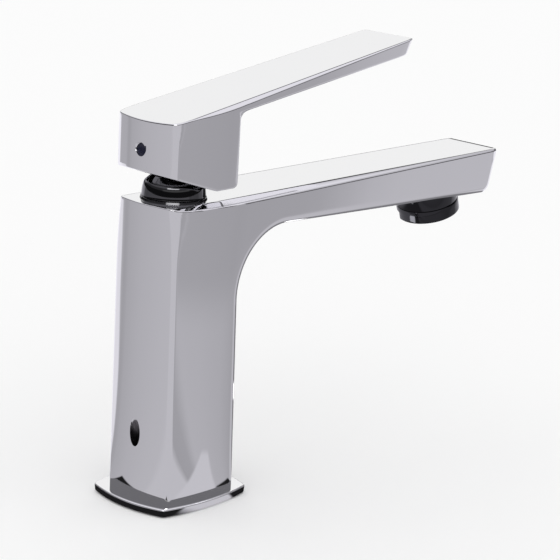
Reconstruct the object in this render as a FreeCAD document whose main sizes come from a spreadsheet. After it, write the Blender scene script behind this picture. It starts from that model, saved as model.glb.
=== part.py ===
import FreeCAD, Part
import math
import os
import re

import Sketcher

# Single lever basin mixer tap. Millimetres, +Z up, the spout points along +X, the near side of the
# photograph is -Y. The origin is the middle of the underside, on the counter.

SIZES = {
    # base plate and its gasket
    "plate_length": 51.8,
    "plate_width": 45.5,
    "plate_height": 3.45,
    "plate_end_bow": 3.3,
    "plate_side_bow": 2.75,
    "plate_corner": 1.6,
    "corner_share": 0.2,
    "gasket_proud": 0.5,
    "gasket_height": 1.2,
    "gasket_margin": 2.6,
    "gasket_gap": 0.2,
    "base_hole": 31.0,
    # column of the casting
    "column_rear": 19.8,
    "column_front": 17.4,
    "column_half": 18.4,
    "column_top": 119.2,
    "rear_bow": 2.6,
    "side_bow": 1.5,
    "front_lean": 1.6,
    "side_taper": 0.7,
    "crease": 1.6,
    # spout of the casting
    "reach": 176.8,
    "spout_root": 12.7,
    "elbow_radius": 27.0,
    "under_slope": 2.46,
    "tip_lean": 15.0,
    "tip_heel": 4.0,
    "front_corner": 2.0,
    "spout_root_half": 17.4,
    "spout_tip_half": 14.0,
    "top_side_bow": 0.48,
    "bevel_root": 3.2,
    "bevel_tip": 0.8,
    "bevel_drop": 1.6,
    # waterways, sockets and the pop-up rod's bore
    "inlet_bore": 4.6,
    "inlet_thread": 10.0,
    "inlet_thread_depth": 14.0,
    "inlet_forward": 1.5,
    "inlet_side": 7.5,
    "seat_side": 5.8,
    "stud_thread": 8.0,
    "stud_depth": 12.0,
    "stud_forward": 11.0,
    "rod_bore": 5.5,
    "rod_height": 29.0,
    "rod_lean": 29.0,
    "channel_width": 18.0,
    "channel_height": 6.4,
    "channel_end": 10.2,
    "channel_wall": 3.2,
    # cartridge seat and cartridge
    "cartridge_back": 3.5,
    "pocket_bore": 23.2,
    "chamber_step": 1.9,
    "thread_step": 0.7,
    "nut_fit": 0.1,
    "nut_depth": 7.6,
    "nut_sunk": 1.6,
    "nut_wall": 2.9,
    "spigot_step": 1.2,
    "spigot_rise": 2.8,
    "notch_width": 4.0,
    "notch_depth": 1.6,
    "shell_fit": 0.1,
    "shell_wall": 1.0,
    "shell_top": 2.4,
    "neck_fit": 0.05,
    "base_height": 6.0,
    "disc_height": 3.0,
    "disc_fit": 0.2,
    "port_side": 4.2,
    "port_back": 1.2,
    "port_width": 3.0,
    "outlet_forward": 4.0,
    "outlet_width": 4.0,
    "slider_height": 3.4,
    "slider_body": 15.2,
    "mix_recess": 6.8,
    "mix_back": 3.0,
    "mix_depth": 2.0,
    "driver_length": 12.0,
    "driver_width": 11.0,
    "driver_height": 6.6,
    "ball": 4.4,
    "ball_sunk": 1.0,
    "ball_fit": 0.25,
    "key_width": 3.0,
    "key_height": 0.9,
    "key_gap": 0.1,
    "pin_fit": 0.05,
    "rotor_height": 4.55,
    "rotor_neck": 14.0,
    "rotor_gap": 0.3,
    "rail_width": 2.0,
    "slot_swing": 3.0,
    "slot_fit": 0.2,
    "pin_bore": 2.5,
    "pin_sunk": 0.5,
    "pivot_depth": 5.2,
    "ring_height": 1.6,
    # rubber rings
    "ring_section": 1.2,
    "ring_gap": 0.15,
    "ring_sides": 30,
    "inlet_ring": 5.0,
    # dome over the nut
    "dome_foot_wall": 1.3,
    "dome_draw": 1.1,
    "dome_rim": 0.4,
    "dome_rim_height": 0.9,
    "dome_side_height": 6.8,
    "dome_height": 9.2,
    "dome_wall": 0.8,
    "dome_fit": 0.1,
    "dome_hole": 16.0,
    # lever
    "stem_lean": 12.5,
    "stem_side": 7.0,
    "stem_length": 30.0,
    "stem_foot": 3.0,
    "stem_waist": 3.6,
    "stem_fit": 0.05,
    "lever_rear": 17.9,
    "lever_front": 17.3,
    "lever_half": 16.9,
    "lever_corner_half": 15.9,
    "lever_flare": 0.6,
    "lever_rear_bow": 3.0,
    "lever_side_bow": 0.52,
    "lever_tip_half": 13.4,
    "lever_tip_corner": 1.8,
    "lever_reach": 116.4,
    "lever_height": 35.2,
    "lever_slope": 8.6,
    "arm_slope": 7.4,
    "arm_root": 3.8,
    "block_gap": 4.7,
    "block_rear_rise": 8.0,
    "block_flat": 11.2,
    "block_fillet": 4.0,
    "block_toe": 2.0,
    "lever_tip_lean": 31.0,
    "lever_bevel": 0.9,
    "lever_bevel_drop": 3.0,
    "cavity_gap": 2.0,
    "cavity_top": 18.0,
    "screw_reach": 21.5,
    "screw_thread": 5.0,
    "screw_length": 8.0,
    "screw_key": 2.5,
    "plug_body": 5.2,
    "plug_length": 4.0,
    "plug_sunk": 0.8,
    # aerator
    "outlet_inset": 27.9,
    "outlet_drop": 26.2,
    "outlet_lean": 16.5,
    "bezel": 26.6,
    "bezel_height": 5.4,
    "bezel_mouth": 19.2,
    "bezel_lip": 1.2,
    "bezel_flat": 12.45,
    "flat_height": 3.1,
    "flat_turn": 133.0,
    "aerator_thread": 24.0,
    "thread_height": 7.6,
    "thread_fit": 0.1,
    "seam": 0.2,
    "outlet_bore_up": 16.0,
    "insert_body": 20.8,
    "insert_hole": 1.9,
    "insert_ring": 3.4,
    "screen_hole": 1.2,
    "screen_height": 0.5,
    "washer_height": 1.6,
    "washer_bore": 17.0,
    # cutters run past what they cut by this much
    "overrun": 3.0,
}

doc = FreeCAD.newDocument("basin_mixer_tap")
sheet = doc.addObject("Spreadsheet::Sheet", "Sizes")
for row, (alias, value) in enumerate(SIZES.items(), start=1):
    sheet.set(f"A{row}", alias.replace("_", " "))
    sheet.set(f"B{row}", str(value))
    sheet.setAlias(f"B{row}", alias)
doc.recompute()

nodes = []


def bound(formula):
    """A size formula with the sheet's name put before each alias."""
    return re.sub(r"[A-Za-z_]\w*", lambda word: "Sizes." + word.group() if word.group() in SIZES else word.group(), formula)


def size(formula):
    """The number that a size formula gives now."""
    return float(sheet.evalExpression(bound(formula)))


def bind(thing, path, formula):
    thing.setExpression(path, bound(formula))


def place(thing, x="0", y="0", z="0", turn=None, axis=(0, 1, 0)):
    """Put an object at a point given by formulas, turned by a formula in degrees about an axis."""
    if turn is not None:
        thing.Placement = FreeCAD.Placement(FreeCAD.Vector(), FreeCAD.Rotation(FreeCAD.Vector(*axis), size(turn)))
        bind(thing, "Placement.Rotation.Angle", turn)
    for letter, formula in zip("xyz", (x, y, z)):
        bind(thing, f"Placement.Base.{letter}", formula)
    return thing


PLANES = {
    "XY_Plane": FreeCAD.Rotation(),
    "XZ_Plane": FreeCAD.Rotation(FreeCAD.Vector(1, 0, 0), 90),
}


def new_sketch(owner, plane, lift="0"):
    """A sketch on one of a body's own planes, or a free one, lifted along the plane's normal."""
    if owner is None:
        sketch = doc.addObject("Sketcher::SketchObject", "Outline")
        sketch.Placement = FreeCAD.Placement(FreeCAD.Vector(), PLANES[plane])
        if plane == "XY_Plane":
            bind(sketch, "Placement.Base.z", lift)
        else:
            bind(sketch, "Placement.Base.y", f"-({lift})")
        return sketch
    sketch = owner.newObject("Sketcher::SketchObject", "Outline")
    support = next(feature for feature in owner.Origin.OriginFeatures if feature.Role == plane)
    sketch.AttachmentSupport = [(support, "")]
    sketch.MapMode = "FlatFace"
    bind(sketch, "AttachmentOffset.Base.z", lift)
    return sketch


def draw(sketch, corners):
    """Draw a closed outline, counter-clockwise, from corners (x, y, bend).

    x and y are formulas. bend is absent for a straight side to the next corner, ("bow", rise) for an
    arc that stands out by rise, or ("radius", radius) for an arc that is hollowed into the outline.
    """
    count = len(corners)
    points = [FreeCAD.Vector(size(corner[0]), size(corner[1]), 0) for corner in corners]
    ends = []
    for index, corner in enumerate(corners):
        start = points[index]
        stop = points[(index + 1) % count]
        if len(corner) == 2:
            ends.append((sketch.addGeometry(Part.LineSegment(start, stop), False), 1, 2, None))
            continue
        kind, formula = corner[2]
        chord = stop - start
        half = chord.Length / 2
        outward = FreeCAD.Vector(chord.y, -chord.x, 0).normalize()
        if kind == "bow":
            following = corners[(index + 1) % count]
            spans = [f"(({following[axis]}) - ({corner[axis]}))" for axis in (0, 1)]
            radius_formula = f"(({spans[0]}^2 + {spans[1]}^2) / 4 + ({formula})^2) / (2 * ({formula}))"
            radius = size(radius_formula)
            centre = start + chord / 2 - outward * math.sqrt(radius ** 2 - half ** 2)
            first, last, head, tail = start, stop, 1, 2
        else:
            radius_formula = formula
            radius = size(formula)
            centre = start + chord / 2 + outward * math.sqrt(radius ** 2 - half ** 2)
            first, last, head, tail = stop, start, 2, 1
        angles = [math.atan2(point.y - centre.y, point.x - centre.x) for point in (first, last)]
        if angles[1] < angles[0]:
            angles[1] += math.tau
        circle = Part.Circle(centre, FreeCAD.Vector(0, 0, 1), radius)
        ends.append((sketch.addGeometry(Part.ArcOfCircle(circle, *angles), False), head, tail, radius_formula))
    for index, (edge, head, tail, radius_formula) in enumerate(ends):
        after = ends[(index + 1) % count]
        sketch.addConstraint(Sketcher.Constraint("Coincident", edge, tail, after[0], after[1]))
        for kind, axis in (("DistanceX", 0), ("DistanceY", 1)):
            number = sketch.addConstraint(Sketcher.Constraint(kind, -1, 1, edge, head, points[index][axis]))
            sketch.setExpression(f"Constraints[{number}]", bound(corners[index][axis]))
        if radius_formula:
            number = sketch.addConstraint(Sketcher.Constraint("Radius", edge, size(radius_formula)))
            sketch.setExpression(f"Constraints[{number}]", bound(radius_formula))
    return sketch


def draw_circle(sketch, x, y, radius):
    circle = Part.Circle(FreeCAD.Vector(size(x), size(y), 0), FreeCAD.Vector(0, 0, 1), size(radius))
    edge = sketch.addGeometry(circle, False)
    for kind, formula in (("DistanceX", x), ("DistanceY", y)):
        number = sketch.addConstraint(Sketcher.Constraint(kind, -1, 1, edge, 3, size(formula)))
        sketch.setExpression(f"Constraints[{number}]", bound(formula))
    number = sketch.addConstraint(Sketcher.Constraint("Radius", edge, size(radius)))
    sketch.setExpression(f"Constraints[{number}]", bound(radius))
    return sketch


def rectangle(x_low, x_high, y_low, y_high):
    return [(x_low, y_low), (x_high, y_low), (x_high, y_high), (x_low, y_high)]


def keep(thing, label):
    """Give a finished sub-part its name."""
    thing.Label = label
    nodes.append(thing)
    return thing


def new_body(label):
    return keep(doc.addObject("PartDesign::Body", "Body"), label)


def revolve(body, profile):
    """Turn a closed profile of (radius, height) corners round the body's Z axis."""
    sketch = draw(new_sketch(body, "XZ_Plane"), profile)
    feature = body.newObject("PartDesign::Revolution", "Turned")
    feature.Profile = sketch
    feature.ReferenceAxis = (sketch, ["V_Axis"])
    feature.Angle = 360
    return feature


def pad(body, sketch, height, both_ways=False):
    feature = body.newObject("PartDesign::Pad", "Raised")
    feature.Profile = sketch
    feature.Midplane = both_ways
    bind(feature, "Length", height)
    return feature


def pocket(body, sketch, depth, both_ways=False, upward=False):
    """Cut a sketch into a body, against the sketch's normal unless upward is set."""
    feature = body.newObject("PartDesign::Pocket", "Cut")
    feature.Profile = sketch
    feature.Midplane = both_ways
    feature.Reversed = upward
    bind(feature, "Length", depth)
    return feature


def flat_ring(outer, inner, height):
    """A ring with a square section. Its many straight sides keep the small hidden rings light."""
    sides = []
    inner_corner = f"({inner}) / cos(180deg / ring_sides)"
    for radius, low, high in ((outer, "0", height), (inner_corner, "-overrun", f"{height} + overrun")):
        thing = doc.addObject("Part::Prism", "Sides")
        bind(thing, "Polygon", "ring_sides")
        bind(thing, "Circumradius", radius)
        bind(thing, "Height", f"{high} - ({low})")
        bind(thing, "Placement.Base.z", low)
        sides.append(thing)
    return cut(*sides)


def around(body, feature, count):
    """Repeat a cut evenly round the body's own Z axis."""
    pattern = body.newObject("PartDesign::PolarPattern", "Pattern")
    pattern.Originals = [feature]
    pattern.Axis = (next(axis for axis in body.Origin.OriginFeatures if axis.Role == "Z_Axis"), [""])
    pattern.Angle = 360
    pattern.Occurrences = count
    body.Tip = pattern


def cylinder(radius, height):
    thing = doc.addObject("Part::Cylinder", "Round")
    bind(thing, "Radius", radius)
    bind(thing, "Height", height)
    return thing


def box(length, width, height):
    thing = doc.addObject("Part::Box", "Block")
    for path, formula in (("Length", length), ("Width", width), ("Height", height)):
        bind(thing, path, formula)
    return thing


def loft(sketches, ruled=False):
    thing = doc.addObject("Part::Loft", "Lofted")
    thing.Sections = sketches
    thing.Solid = True
    thing.Ruled = ruled
    return thing


def extrude(sketch, height, both_ways=False):
    thing = doc.addObject("Part::Extrusion", "Drawn")
    thing.Base = sketch
    thing.DirMode = "Normal"
    thing.Solid = True
    thing.Symmetric = both_ways
    bind(thing, "LengthFwd", height)
    return thing


def common(*things):
    thing = doc.addObject("Part::MultiCommon", "Shared")
    thing.Shapes = list(things)
    return thing


def fuse(*things):
    thing = doc.addObject("Part::MultiFuse", "Joined")
    thing.Shapes = list(things)
    thing.Refine = True
    return thing


def cut(base, *tools):
    """Take every tool away from the base."""
    for tool in tools:
        thing = doc.addObject("Part::Cut", "Cut")
        thing.Base = base
        thing.Tool = tool
        base = thing
    return base


def edges_at(shape, spots):
    """The numbers of the edges that pass closest to the given points."""
    found = []
    for spot in spots:
        target = Part.Vertex(FreeCAD.Vector(*spot))
        distances = [edge.distToShape(target)[0] for edge in shape.Edges]
        found.append(distances.index(min(distances)) + 1)
    return sorted(set(found))


def break_edges(base, spots, width):
    """Chamfer the edges that pass closest to the given points, and those that run on from them."""
    doc.recompute()
    thing = doc.addObject("Part::Chamfer", "Broken")
    thing.Base = base
    thing.Edges = [(number, size(width), size(width)) for number in edges_at(base.Shape, spots)]
    return thing


# Places that several pieces share

CARTRIDGE_X = "-(cartridge_back)"
PIVOT_Z = "(column_top - pivot_depth)"
SHOULDER_Z = "(column_top - nut_depth)"
CAP_UNDER_Z = f"({SHOULDER_Z} - shell_top)"
ROTOR_SHOULDER_Z = f"({CAP_UNDER_Z} - rotor_gap / 2 - ring_section)"
ROTOR_Z = f"({ROTOR_SHOULDER_Z} - rotor_height)"
DRIVER_TOP_Z = f"({ROTOR_Z} - rotor_gap)"
DRIVER_Z = f"({DRIVER_TOP_Z} - driver_height)"
SLIDER_Z = f"({DRIVER_Z} - slider_height)"
DISC_Z = f"({SLIDER_Z} - disc_height)"
SEAT_Z = f"({DISC_Z} - base_height)"
BALL_DROP = f"({PIVOT_Z} - {DRIVER_TOP_Z} + ball_sunk)"
SHELL = "(pocket_bore / 2 - shell_fit)"
SHELL_BORE = f"({SHELL} - shell_wall)"
ROTOR_BODY = f"({SHELL_BORE} - rotor_gap)"
NECK_BORE = "(rotor_neck / 2 + neck_fit)"
NUT_THREAD = "(pocket_bore / 2 + thread_step)"
NUT_BORE = f"({NUT_THREAD} - nut_wall)"
SPIGOT = f"({NUT_THREAD} - nut_fit - spigot_step)"
DOME_FOOT = f"({SPIGOT} + dome_fit + dome_foot_wall)"
ELBOW_Z = "(column_top - spout_root - elbow_radius)"
DOME_RIM = f"({DOME_FOOT} + dome_rim)"
CAVITY = f"({DOME_RIM} + cavity_gap)"
BLOCK_BOTTOM = "(column_top + block_gap)"
LEVER_TOP = "(column_top + lever_height)"
OUTLET_X = "(reach - outlet_inset)"
OUTLET_Z = "(column_top - outlet_drop)"
NUT_TOP_Z = "(column_top + spigot_rise)"


# Base plate: a chromed rosette with four bowed sides, and rounded corners

def bowed_plan(length, width, end_bow, side_bow, margin="0"):
    """Corners of an outline whose ends and sides stand out in the middle by their bows."""
    x = f"({length} / 2 - {end_bow} - ({margin}))"
    y = f"({width} / 2 - {side_bow} - ({margin}))"
    short_x = f"({x} - plate_corner)"
    short_y = f"({y} - plate_corner)"
    corner = ("bow", "plate_corner * corner_share")
    return [
        (f"-{short_x}", f"-{y}", ("bow", side_bow)),
        (short_x, f"-{y}", corner),
        (x, f"-{short_y}", ("bow", end_bow)),
        (x, short_y, corner),
        (short_x, y, ("bow", side_bow)),
        (f"-{short_x}", y, corner),
        (f"-{x}", short_y, ("bow", end_bow)),
        (f"-{x}", f"-{short_y}", corner),
    ]


plate_plan = ("plate_length", "plate_width", "plate_end_bow", "plate_side_bow")
base_plate = new_body("base_plate")
pad(base_plate, draw(new_sketch(base_plate, "XY_Plane", "gasket_proud"), bowed_plan(*plate_plan)),
    "plate_height - gasket_proud")
recess = draw(new_sketch(base_plate, "XY_Plane", "gasket_height"), bowed_plan(*plate_plan, "gasket_margin"))
pocket(base_plate, recess, "gasket_height")
hole = draw_circle(new_sketch(base_plate, "XY_Plane", "plate_height"), "0", "0", "base_hole / 2")
pocket(base_plate, hole, "plate_height")

base_gasket = new_body("base_gasket")
gasket_plan = bowed_plan(*plate_plan, "gasket_margin + gasket_gap")
sheet_sketch = draw_circle(draw(new_sketch(base_gasket, "XY_Plane"), gasket_plan), "0", "0", "base_hole / 2")
pad(base_gasket, sheet_sketch, "gasket_height")


# Casting: a side view of column, elbow and spout, cut to a plan that changes from foot to top

def casting_profile():
    """Side view of column, elbow and spout."""
    knee = "(column_front - front_lean)"
    slope = "under_slope * 1deg"
    arc_x = f"({knee} + elbow_radius * (1 + sin({slope})))"
    arc_z = f"({ELBOW_Z} + elbow_radius * cos({slope}))"
    lean = "tan(tip_lean * 1deg)"
    fall = f"tan({slope})"
    heel_x = f"((reach - {lean} * (column_top - {arc_z}) + {lean} * {fall} * {arc_x}) / (1 + {lean} * {fall}))"
    heel_z = f"({arc_z} - ({heel_x} - {arc_x}) * {fall})"
    turn = "(90deg - tip_lean * 1deg + under_slope * 1deg)"
    tangent = f"(tip_heel * tan({turn} / 2))"
    return [
        ("-(column_rear + overrun)", "plate_height"),
        ("column_front", "plate_height"),
        (knee, ELBOW_Z, ("radius", "elbow_radius")),
        (arc_x, arc_z),
        (f"{heel_x} - {tangent} * cos({slope})", f"{heel_z} + {tangent} * sin({slope})",
         ("bow", f"tip_heel * (1 - cos({turn} / 2))")),
        (f"{heel_x} + {tangent} * sin(tip_lean * 1deg)", f"{heel_z} + {tangent} * cos(tip_lean * 1deg)"),
        ("reach", "column_top"),
        ("-(column_rear + overrun)", "column_top"),
    ]


def rear_round(half, bow):
    """Where a rear face that stands out by its bow meets the two creases: x from the face, y, and the rise there."""
    radius = f"((({half})^2 + {bow}^2) / (2 * {bow}))"
    inner = f"({half} - crease)"
    rise = f"({radius} - sqrt({radius}^2 - {inner}^2))"
    return rise, inner


def casting_plan(corner_half, root_half, bow):
    """Plan of column and spout at one height, with rounded rear creases."""
    rise, inner = rear_round("(column_half - side_bow)", "rear_bow")
    rear_x = f"(-(column_rear) + {rise})"
    side_x = "(-(column_rear - rear_bow) + crease)"
    front = "(column_front + overrun)"
    far = "(reach + overrun)"
    crease_bow = ("bow", "crease * corner_share")
    return [
        (side_x, f"-({corner_half})", ("bow", bow)),
        (front, f"-({root_half})"),
        (far, "-(spout_tip_half)"),
        (far, "spout_tip_half"),
        (front, root_half, ("bow", bow)),
        (side_x, corner_half, crease_bow),
        (rear_x, inner, ("bow", rise)),
        (rear_x, f"-{inner}", crease_bow),
    ]


side_view = extrude(draw(new_sketch(None, "XZ_Plane"), casting_profile()), "(column_half + overrun) * 2", both_ways=True)
foot_half = "(column_half - side_bow)"
plan_view = loft([
    draw(new_sketch(None, "XY_Plane", "plate_height"), casting_plan(foot_half, foot_half, "side_bow")),
    draw(new_sketch(None, "XY_Plane", "column_top"),
         casting_plan(f"({foot_half} - side_taper)", "spout_root_half", "top_side_bow")),
], ruled=True)
blank = common(side_view, plan_view)

# The edges down the front, round the elbow, under the spout and up its tip are one run; then the top
# edges get a bevel that narrows towards the tip

tip_z = f"((column_top + {ELBOW_Z} + elbow_radius) / 2)"
broken = break_edges(blank, [(size("reach"), side * size("spout_tip_half"), size(tip_z)) for side in (-1, 1)], "front_corner")


def bevel_section(x, top, half, width, drop):
    """Section of the bevel's cutter across the piece, three times as wide as the bevel itself."""
    corners = [
        (f"{half} - {width}", top),
        (f"{half} + {width} * 2", f"{top} - {drop} * 3"),
        (f"{half} + {width} * 2", f"{top} + overrun"),
        (f"{half} - {width}", f"{top} + overrun"),
    ]
    points = [FreeCAD.Vector(size(x), size(y), size(z)) for y, z in corners]
    return Part.makePolygon(points + points[:1])


def both_sides(half):
    """A cutter and its mirror image across the middle plane."""
    thing = doc.addObject("Part::Feature", "Bevel")
    thing.Shape = Part.makeCompound([half, half.mirror(FreeCAD.Vector(), FreeCAD.Vector(0, 1, 0))])
    return thing


spout_cut = Part.makeLoft([
    bevel_section("-(column_rear + overrun)", "column_top", "spout_root_half", "bevel_root", "bevel_drop"),
    bevel_section("reach + overrun", "column_top", "spout_tip_half", "bevel_tip", "bevel_drop * bevel_tip / bevel_root"),
], True, True)
bevelled = cut(broken, both_sides(spout_cut))

# Outlet boss under the spout, leaning forward; its own Z runs up the outlet from the aerator's rim


def on_outlet(thing, up="0"):
    """Place a piece on the leaning outlet axis, up along it from the aerator's rim."""
    lean = "outlet_lean * 1deg"
    return place(thing, f"{OUTLET_X} - ({up}) * sin({lean})", "0", f"{OUTLET_Z} + ({up}) * cos({lean})", "-outlet_lean")


boss_rise = "(bezel_height + seam)"
bezel_room = on_outlet(cylinder("bezel / 2 + seam", f"{boss_rise} + overrun"), "-(overrun)")
boss = on_outlet(cylinder("bezel / 2", "thread_height + bezel_lip"), boss_rise)
solid = fuse(cut(bevelled, bezel_room), boss)
thread_hole = on_outlet(cylinder("aerator_thread / 2", "thread_height"), boss_rise)
outlet_hole = on_outlet(cylinder("outlet_bore_up / 2", "thread_height + overrun * 2"), boss_rise)

# Waterways: two inlets up to the seat, and one channel from the cartridge's chamber to the outlet

inlets = []
for side in ("-", ""):
    inlets.append(place(cylinder("inlet_bore / 2", f"{SEAT_Z} - plate_height - inlet_thread_depth + overrun * 2"),
                        "inlet_forward - cartridge_back", f"{side}seat_side",
                        "plate_height + inlet_thread_depth - overrun"))
    inlets.append(place(cylinder("inlet_thread / 2", "inlet_thread_depth + overrun"),
                        "inlet_forward", f"{side}inlet_side", "plate_height - overrun"))
stud_hole = place(cylinder("stud_thread / 2", "stud_depth + overrun"), "stud_forward", "0", "plate_height - overrun")
rod_hole = place(cylinder("rod_bore / 2", "(rod_height + rod_bore + overrun * 2) / cos(rod_lean * 1deg)"),
                 "-(column_rear) + (rod_height + overrun) * tan(rod_lean * 1deg)", "0", "-overrun", "-rod_lean")

crest = "(column_top - channel_wall)"
channel_low = f"({SHOULDER_Z} - ring_section * 2)"
channel_plan = [
    ("0", f"{channel_low} - channel_height"),
    ("column_front + crease", f"{SHOULDER_Z} - channel_height"),
    ("elbow_radius + column_front", f"{crest} - channel_height"),
    (OUTLET_X, f"{crest} - channel_end"),
    (OUTLET_X, crest),
    ("elbow_radius + column_front", crest),
    ("column_front + crease", SHOULDER_Z),
    ("0", channel_low),
]
channel = extrude(draw(new_sketch(None, "XZ_Plane"), channel_plan), "channel_width", both_ways=True)

# Pocket for the cartridge, open at the top and threaded for the nut; a wider ring chamber round its
# middle gathers the mixed water

pocket_hole = place(cylinder("pocket_bore / 2", f"column_top - {SEAT_Z} + overrun"), CARTRIDGE_X, "0", SEAT_Z)
thread_mouth = place(cylinder(NUT_THREAD, "nut_depth + overrun"), CARTRIDGE_X, "0", SHOULDER_Z)
chamber_z = f"({SEAT_Z} + base_height / 2)"
chamber = place(cylinder("pocket_bore / 2 + chamber_step", f"{channel_low} - {chamber_z}"), CARTRIDGE_X, "0", chamber_z)
body_casting = keep(cut(solid, channel, pocket_hole, chamber, thread_mouth, thread_hole, outlet_hole,
                        stud_hole, rod_hole, *inlets), "body_casting")


def ring(radius, x, z, y="0"):
    """A rubber ring lying flat, given by its middle radius and its underside."""
    return place(flat_ring(f"{radius} + ring_section / 2", f"{radius} - ring_section / 2", "ring_section"), x, y, z)


def on_cartridge(body):
    return place(body, CARTRIDGE_X)


# Cartridge base: a rebate round its foot and two counterbores take the rubber rings

groove = "(ring_section + ring_gap)"
seal_inner = "(pocket_bore / 2 - ring_section)"
base_radius = "(pocket_bore / 2 - shell_fit * 2)"
cartridge_base = new_body("cartridge_base")
revolve(cartridge_base, [
    ("0", SEAT_Z),
    (seal_inner, SEAT_Z),
    (seal_inner, f"{SEAT_Z} + {groove}"),
    (base_radius, f"{SEAT_Z} + {groove}"),
    (base_radius, DISC_Z),
    ("0", DISC_Z),
])
for side in ("-", ""):
    counterbore = draw_circle(new_sketch(cartridge_base, "XY_Plane", SEAT_Z),
                              "inlet_forward", f"{side}seat_side", "inlet_ring / 2 + ring_section / 2 + ring_gap")
    pocket(cartridge_base, counterbore, "ring_section", upward=True)
port = ["-port_back - port_width / 2", "-port_back + port_width / 2", "port_side - port_width / 2",
        "port_side + port_width / 2"]
near_port = [*port[:2], f"-({port[3]})", f"-({port[2]})"]
for side, corners in (("-", near_port), ("", port)):
    duct_low, duct_high = sorted((f"{side}(seat_side + port_width / 2)", f"{side}(seat_side - port_width / 2)"), key=size)
    duct = rectangle("inlet_forward - port_width / 2", "inlet_forward + port_width / 2", duct_low, duct_high)
    pocket(cartridge_base, draw(new_sketch(cartridge_base, "XY_Plane", SEAT_Z), duct), "base_height / 2", upward=True)
    pocket(cartridge_base, draw(new_sketch(cartridge_base, "XY_Plane", DISC_Z), rectangle(*corners)),
           "base_height - ring_section * 2")
outlet_port = ["outlet_forward - outlet_width / 2", "outlet_forward + outlet_width / 2", "-outlet_width / 2", "outlet_width / 2"]
outlet_slot = rectangle(outlet_port[0], f"{base_radius} + overrun", *outlet_port[2:])
pocket(cartridge_base, draw(new_sketch(cartridge_base, "XY_Plane", DISC_Z), outlet_slot), "base_height / 2")
on_cartridge(cartridge_base)

seal_radius = "pocket_bore / 2 - ring_section / 2"
inlet_seals = doc.addObject("Part::Compound", "Rings")
inlet_seals.Links = [ring("inlet_ring / 2", f"{CARTRIDGE_X} + inlet_forward", SEAT_Z, f"{side}seat_side") for side in ("-", "")]
keep(inlet_seals, "inlet_seals")
keep(ring(seal_radius, CARTRIDGE_X, SEAT_Z), "base_seal")
keep(ring(seal_radius, CARTRIDGE_X, f"{SHOULDER_Z} - ring_section"), "housing_seal")

# Ceramic discs: the fixed one with its ports, and the sliding one with a mixing hollow underneath

fixed_disc = new_body("fixed_disc")
pad(fixed_disc, draw_circle(new_sketch(fixed_disc, "XY_Plane", DISC_Z), "0", "0", f"{SHELL_BORE} - disc_fit"), "disc_height")
for corners in (near_port, port, outlet_port):
    pocket(fixed_disc, draw(new_sketch(fixed_disc, "XY_Plane", SLIDER_Z), rectangle(*corners)), "disc_height")
on_cartridge(fixed_disc)

shut = f"({BALL_DROP} * sin(stem_lean * 1deg))"
moving_disc = new_body("moving_disc")
pad(moving_disc, draw_circle(new_sketch(moving_disc, "XY_Plane", SLIDER_Z), "0", "0", "slider_body / 2"), "slider_height")
hollow = rectangle("-mix_back - mix_recess / 2", "-mix_back + mix_recess / 2", "-mix_recess / 2", "mix_recess / 2")
pocket(moving_disc, draw(new_sketch(moving_disc, "XY_Plane", SLIDER_Z), hollow), "mix_depth", upward=True)
key_slot = rectangle("-key_width / 2 - key_gap", "key_width / 2 + key_gap", "-slider_body", "slider_body")
pocket(moving_disc, draw(new_sketch(moving_disc, "XY_Plane", DRIVER_Z), key_slot), "key_height + key_gap")
place(moving_disc, f"{CARTRIDGE_X} - {shut}")

# Driver: carries the sliding disc on a key and takes the stem's rounded end from above

disc_driver = new_body("disc_driver")
driver_plan = rectangle("-driver_length / 2", "driver_length / 2", "-driver_width / 2", "driver_width / 2")
pad(disc_driver, draw(new_sketch(disc_driver, "XY_Plane", DRIVER_Z), driver_plan), "driver_height")
key = rectangle("-key_width / 2", "key_width / 2", "-driver_width / 2", "driver_width / 2")
key_pad = pad(disc_driver, draw(new_sketch(disc_driver, "XY_Plane", DRIVER_Z), key), "key_height")
key_pad.Reversed = True
ball_seat = f"({PIVOT_Z} - {BALL_DROP} - ball / 4 - ball_fit * 2)"
socket = draw_circle(new_sketch(disc_driver, "XY_Plane", f"{DRIVER_Z} + driver_height"), "0", "0", "ball / 2 + ball_fit")
pocket(disc_driver, socket, f"{DRIVER_Z} + driver_height - {ball_seat}")
place(disc_driver, f"{CARTRIDGE_X} - {shut}")

# Housing: a cup over the discs, pressed down by the nut, with a rebate round its cap for a rubber ring

cartridge_housing = new_body("cartridge_housing")
revolve(cartridge_housing, [
    (SHELL_BORE, DISC_Z),
    (SHELL, DISC_Z),
    (SHELL, f"{SHOULDER_Z} - {groove}"),
    (seal_inner, f"{SHOULDER_Z} - {groove}"),
    (seal_inner, SHOULDER_Z),
    (NECK_BORE, SHOULDER_Z),
    (NECK_BORE, CAP_UNDER_Z),
    (SHELL_BORE, CAP_UNDER_Z),
])
on_cartridge(cartridge_housing)

limit_ring = keep(place(flat_ring(f"{NUT_BORE} - rotor_gap", f"{NECK_BORE} + rotor_gap", "ring_height"),
                        CARTRIDGE_X, "0", SHOULDER_Z), "limit_ring")

# Rotor: turns in the housing for temperature; slotted for the stem, with two rails for the driver

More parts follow.
